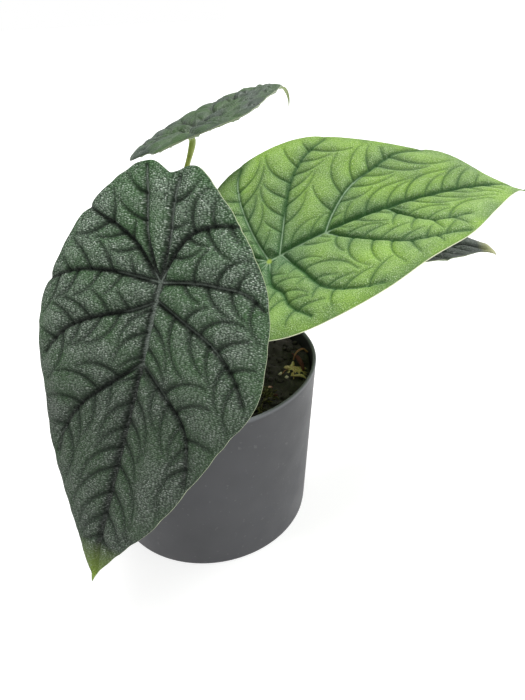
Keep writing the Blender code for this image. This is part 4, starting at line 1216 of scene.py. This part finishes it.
def moss_tufts(draw):
    """Strands of dry moss that lie in tufts, each tuft in its own direction, and a knot among them."""
    strands = []
    for (x, y), (aim_x, aim_y), count in DRY_MOSS:
        for _ in range(count):
            start = (x + draw.gauss(0, 0.7), y + draw.gauss(0, 0.7))
            way = math.atan2(aim_y - start[1], aim_x - start[0])
            reach = math.hypot(aim_x - start[0], aim_y - start[1])
            heading, length = way + draw.gauss(0, 0.2), reach * draw.uniform(0.75, 1.2)
            curl, radius = draw.uniform(-0.9, 0.9), draw.uniform(0.5, 0.9)
            strands.append(strand(draw, start, heading, length, curl, radius, 0.55))
    return strands + [lump(draw, 47.8, -10.6, 3.0, -0.2)]


def moss_patches(draw):
    """Short curled strands of green moss."""
    strands = []
    for x, y, count in GREEN_MOSS:
        for _ in range(count):
            start = (x + draw.gauss(0, 1.9), y + draw.gauss(0, 1.9))
            way, length = draw.uniform(0, 6.3), draw.uniform(2.0, 4.5)
            curl, radius = draw.uniform(-1.5, 1.5), draw.uniform(0.3, 0.55)
            strands.append(strand(draw, start, way, length, curl, radius, 0.9, 5))
    return strands


def make_litter():
    """The loose things on the mix: moss, bark, a root, a husk, white grains and dark crumbs."""
    draw = random.Random(LITTER_SEED)
    straw = moss_tufts(draw)
    stalk = strand(draw, (44.2, -15.2), 0.8, 5.2, 0.2, 0.3)
    thread = rounded_curve([(52.8, -4.6, 93.4), (54.0, -2.6, 95.4), (56.0, -0.6, 96.4), (59.6, 1.6, 96.2),
                            (62.0, 0.6, 94.0)], 6)
    root = tube(thread, np.linspace(0.42, 0.62, len(thread)), 8)
    strip = rounded_curve([(53.4, 3.6, 93.0), (54.4, -1.0, 94.4), (55.3, -5.5, 94.8), (56.0, -10.5, 94.2),
                           (56.2, -15.0, 92.6)], 6)
    bark = tube(strip, 1.5 * np.sin(np.linspace(0.25, 2.7, len(strip))), 12, flatness=0.4)
    green = moss_patches(draw)
    grains = [lump(draw, x, y, size, -0.1) for x, y, size in WHITE_GRAINS]
    chips = []
    for _ in range(CRUMBS):
        turn, radius = draw.uniform(0, 2 * math.pi), math.sqrt(draw.uniform(CRUMBS_FROM ** 2, CRUMBS_TO ** 2))
        x, y, size = radius * math.cos(turn), radius * math.sin(turn), draw.uniform(1.2, 4.2)
        if math.hypot(x - CORM_X, y - CORM_Y) < CORM_RADIUS + 3:
            continue
        chips.append(lump(draw, x, y, size, 0.4))
        if size < 1.35 and y > 10:
            grains.append(lump(draw, x + 2.0, y, 1.7, 0.2))
    pale = [lump(draw, 35.6, -24.8, 1.9, 0.0), lump(draw, 36.8, -23.8, 1.3, 0.0)]
    husk = lump(draw, 37.2, -34.8, 3.0, 0.1)
    pieces = (("dry_moss", straw, "#a8864e", "#efdcae"), ("thin_root", [root, stalk], "#6b3a2a", "#a37a5c"),
              ("bark_strip", [bark], "#3a1712", "#6e3325"), ("green_moss", green, "#221d12", "#5d5a2a"),
              ("peat_crumbs", chips, "#2b2725", "#3f3834"), ("perlite", grains, "#b9a88a", "#efe3cf"),
              ("pale_grain", pale, "#a8706a", "#dcb3a8"), ("red_husk", [husk], "#2a1210", "#54241e"))
    for name, bodies, dark, light in pieces:
        place_piece(add_joined(name, bodies, [litter_material(name, dark, light)]), "soil")


def make_sheaths():
    """Dry papery sheaths that stand round the stems where they leave the rootstock."""
    draw = random.Random(SHEATH_SEED)
    bodies = []
    for number in range(SHEATHS):
        turn = 2 * math.pi * number / SHEATHS + draw.uniform(-0.3, 0.3)
        tall, lean = draw.uniform(10, 24), draw.uniform(0.05, 0.3)
        rings = []
        for share in np.linspace(0, 1, SHEATH_ROWS):
            spread = math.radians(SHEATH_HALF_TURN) * (1 - share) ** 0.7 + 0.03
            outside = CORM_RADIUS + 0.4 - 1.0 * share + lean * tall * share ** 2
            angles = turn + np.linspace(-spread, spread, SHEATH_SIDES)
            height = CORM_TOP - 7.0 + share * tall + 0.6 * np.sin(3 * angles + number) * share
            shell = []
            for radius in (outside, outside - SHEATH_THICKNESS):
                around = [CORM_X + radius * np.cos(angles), CORM_Y + radius * np.sin(angles), height]
                shell.append(np.stack(around, axis=1))
            rings.append(np.vstack([shell[0], shell[1][::-1]]))
        bodies.append(loft(rings[0].mean(axis=0), rings, rings[-1].mean(axis=0)))
    paper = litter_material("sheath_paper", "#5a3f22", "#b8955c", 0.6)
    place_piece(add_joined("dry_sheaths", bodies, [paper]), "corm")


def make_corm():
    """The short rootstock, ringed by leaf scars and rough with fibres."""
    profile = [(4.0, CORM_BOTTOM), (7.0, CORM_BOTTOM + 1.5), (8.4, CORM_BOTTOM + 4.0)]
    for k in range(LEAF_SCARS):
        base = CORM_BOTTOM + 6.0 + 4.8 * k
        profile += [(CORM_RADIUS - 0.1, base), (CORM_RADIUS, base + 2.4), (CORM_RADIUS - 0.7, base + 3.4)]
    profile += [(CORM_RADIUS - 0.2, CORM_TOP - 0.9), (CORM_RADIUS - 0.8, CORM_TOP - 0.2), (6.0, CORM_TOP)]
    place_piece(lathe("rootstock", profile, CORM_SIDES, corm_material(), (CORM_X, CORM_Y)), "corm", "corm")


def corm_material():
    """Brown fibrous skin."""
    paint = Paint("corm_skin", "#3d2a1b", 0.8, 0.3)
    place = paint.place()
    streaks = paint.noise(paint.vector("MULTIPLY", place, (1400.0, 1400.0, 160.0)), 1.0, 5.0, 0.65)
    streaks = paint.stretched(streaks, 0.35, 0.65)
    paint.coat(streaks, "#7a5a3a")
    paint.coat(paint.stretched(paint.noise(place, 180.0), 0.5, 0.7, 0.0, 0.6), "#5c5a30")
    paint.bump(streaks, 0.3)
    return paint.done()


def make_floor():
    """A wide pale floor that glows a little, so that it stays white."""
    paint = Paint("floor_paper", "#b2b2b1", 0.9, 0.1)
    paint.coat(paint.noise(paint.place(), 3.0, 2.0), "#b6b6b5")
    paint.shader.inputs["Emission Color"].default_value = (1.0, 1.0, 1.0, 1.0)
    paint.shader.inputs["Emission Strength"].default_value = FLOOR_GLOW
    corners = [(x * FLOOR_SIZE, y * FLOOR_SIZE, 0) for x, y in ((-1, -1), (1, -1), (1, 1), (-1, 1))]
    item = add_mesh("floor", corners, [(0, 1, 2, 3)], [paint.done()])


def make_light():
    """A sky that is bright at the horizon and on the right, dimmer in front, and a broad high sun."""
    world = bpy.data.worlds.new("studio")
    world.use_nodes = True
    sky = Nodes(world.node_tree)
    way = sky.add("TexCoord").outputs["Generated"]
    horizon = sky.stretched(sky.axis(way, "Z"), 0.05, 0.16, 1.0, SKY_STRENGTH)
    side = sky.stretched(sky.axis(way, "X"), 0.1, 0.9, 0.0, SIDE_STRENGTH)
    front = sky.stretched(sky.axis(way, "Y"), -0.7, 0.1, FRONT_SHARE, 1.0)
    background = world.node_tree.nodes["Background"]
    background.inputs["Color"].default_value = (1.0, 1.0, 1.0, 1.0)
    sky.tree.links.new(sky.number("MULTIPLY_ADD", horizon, front, side), background.inputs["Strength"])
    bpy.context.scene.world = world
    data = bpy.data.lights.new("sun", "SUN")
    data.energy = SUN_STRENGTH
    data.angle = math.radians(SUN_WIDTH)
    add_object("sun", data).rotation_euler = Vector(SUN_PLACE).to_track_quat("Z", "Y").to_euler()
    bpy.context.scene.view_settings.view_transform = "Standard"


def make_camera():
    """The photograph's camera."""
    data = bpy.data.cameras.new("camera")
    data.sensor_width = 36.0
    data.lens = CAMERA_LENS
    data.clip_start = 0.01
    data.clip_end = 100.0
    item = add_object("camera", data)
    item.location = Vector(CAMERA_PLACE) * MM
    turn = Euler((math.radians(90.0 + CAMERA_PITCH), 0.0, math.radians(-CAMERA_HEADING)), "XYZ").to_matrix()
    roll = Euler((0.0, 0.0, math.radians(CAMERA_ROLL)), "XYZ").to_matrix()
    item.rotation_euler = (turn @ roll).to_euler()
    bpy.context.scene.camera = item


make_camera()
make_floor()
make_light()
make_pot()
make_soil()
make_litter()
make_corm()
make_sheaths()
for leaf in LEAVES:
    make_stem(leaf)
    make_blade(leaf)
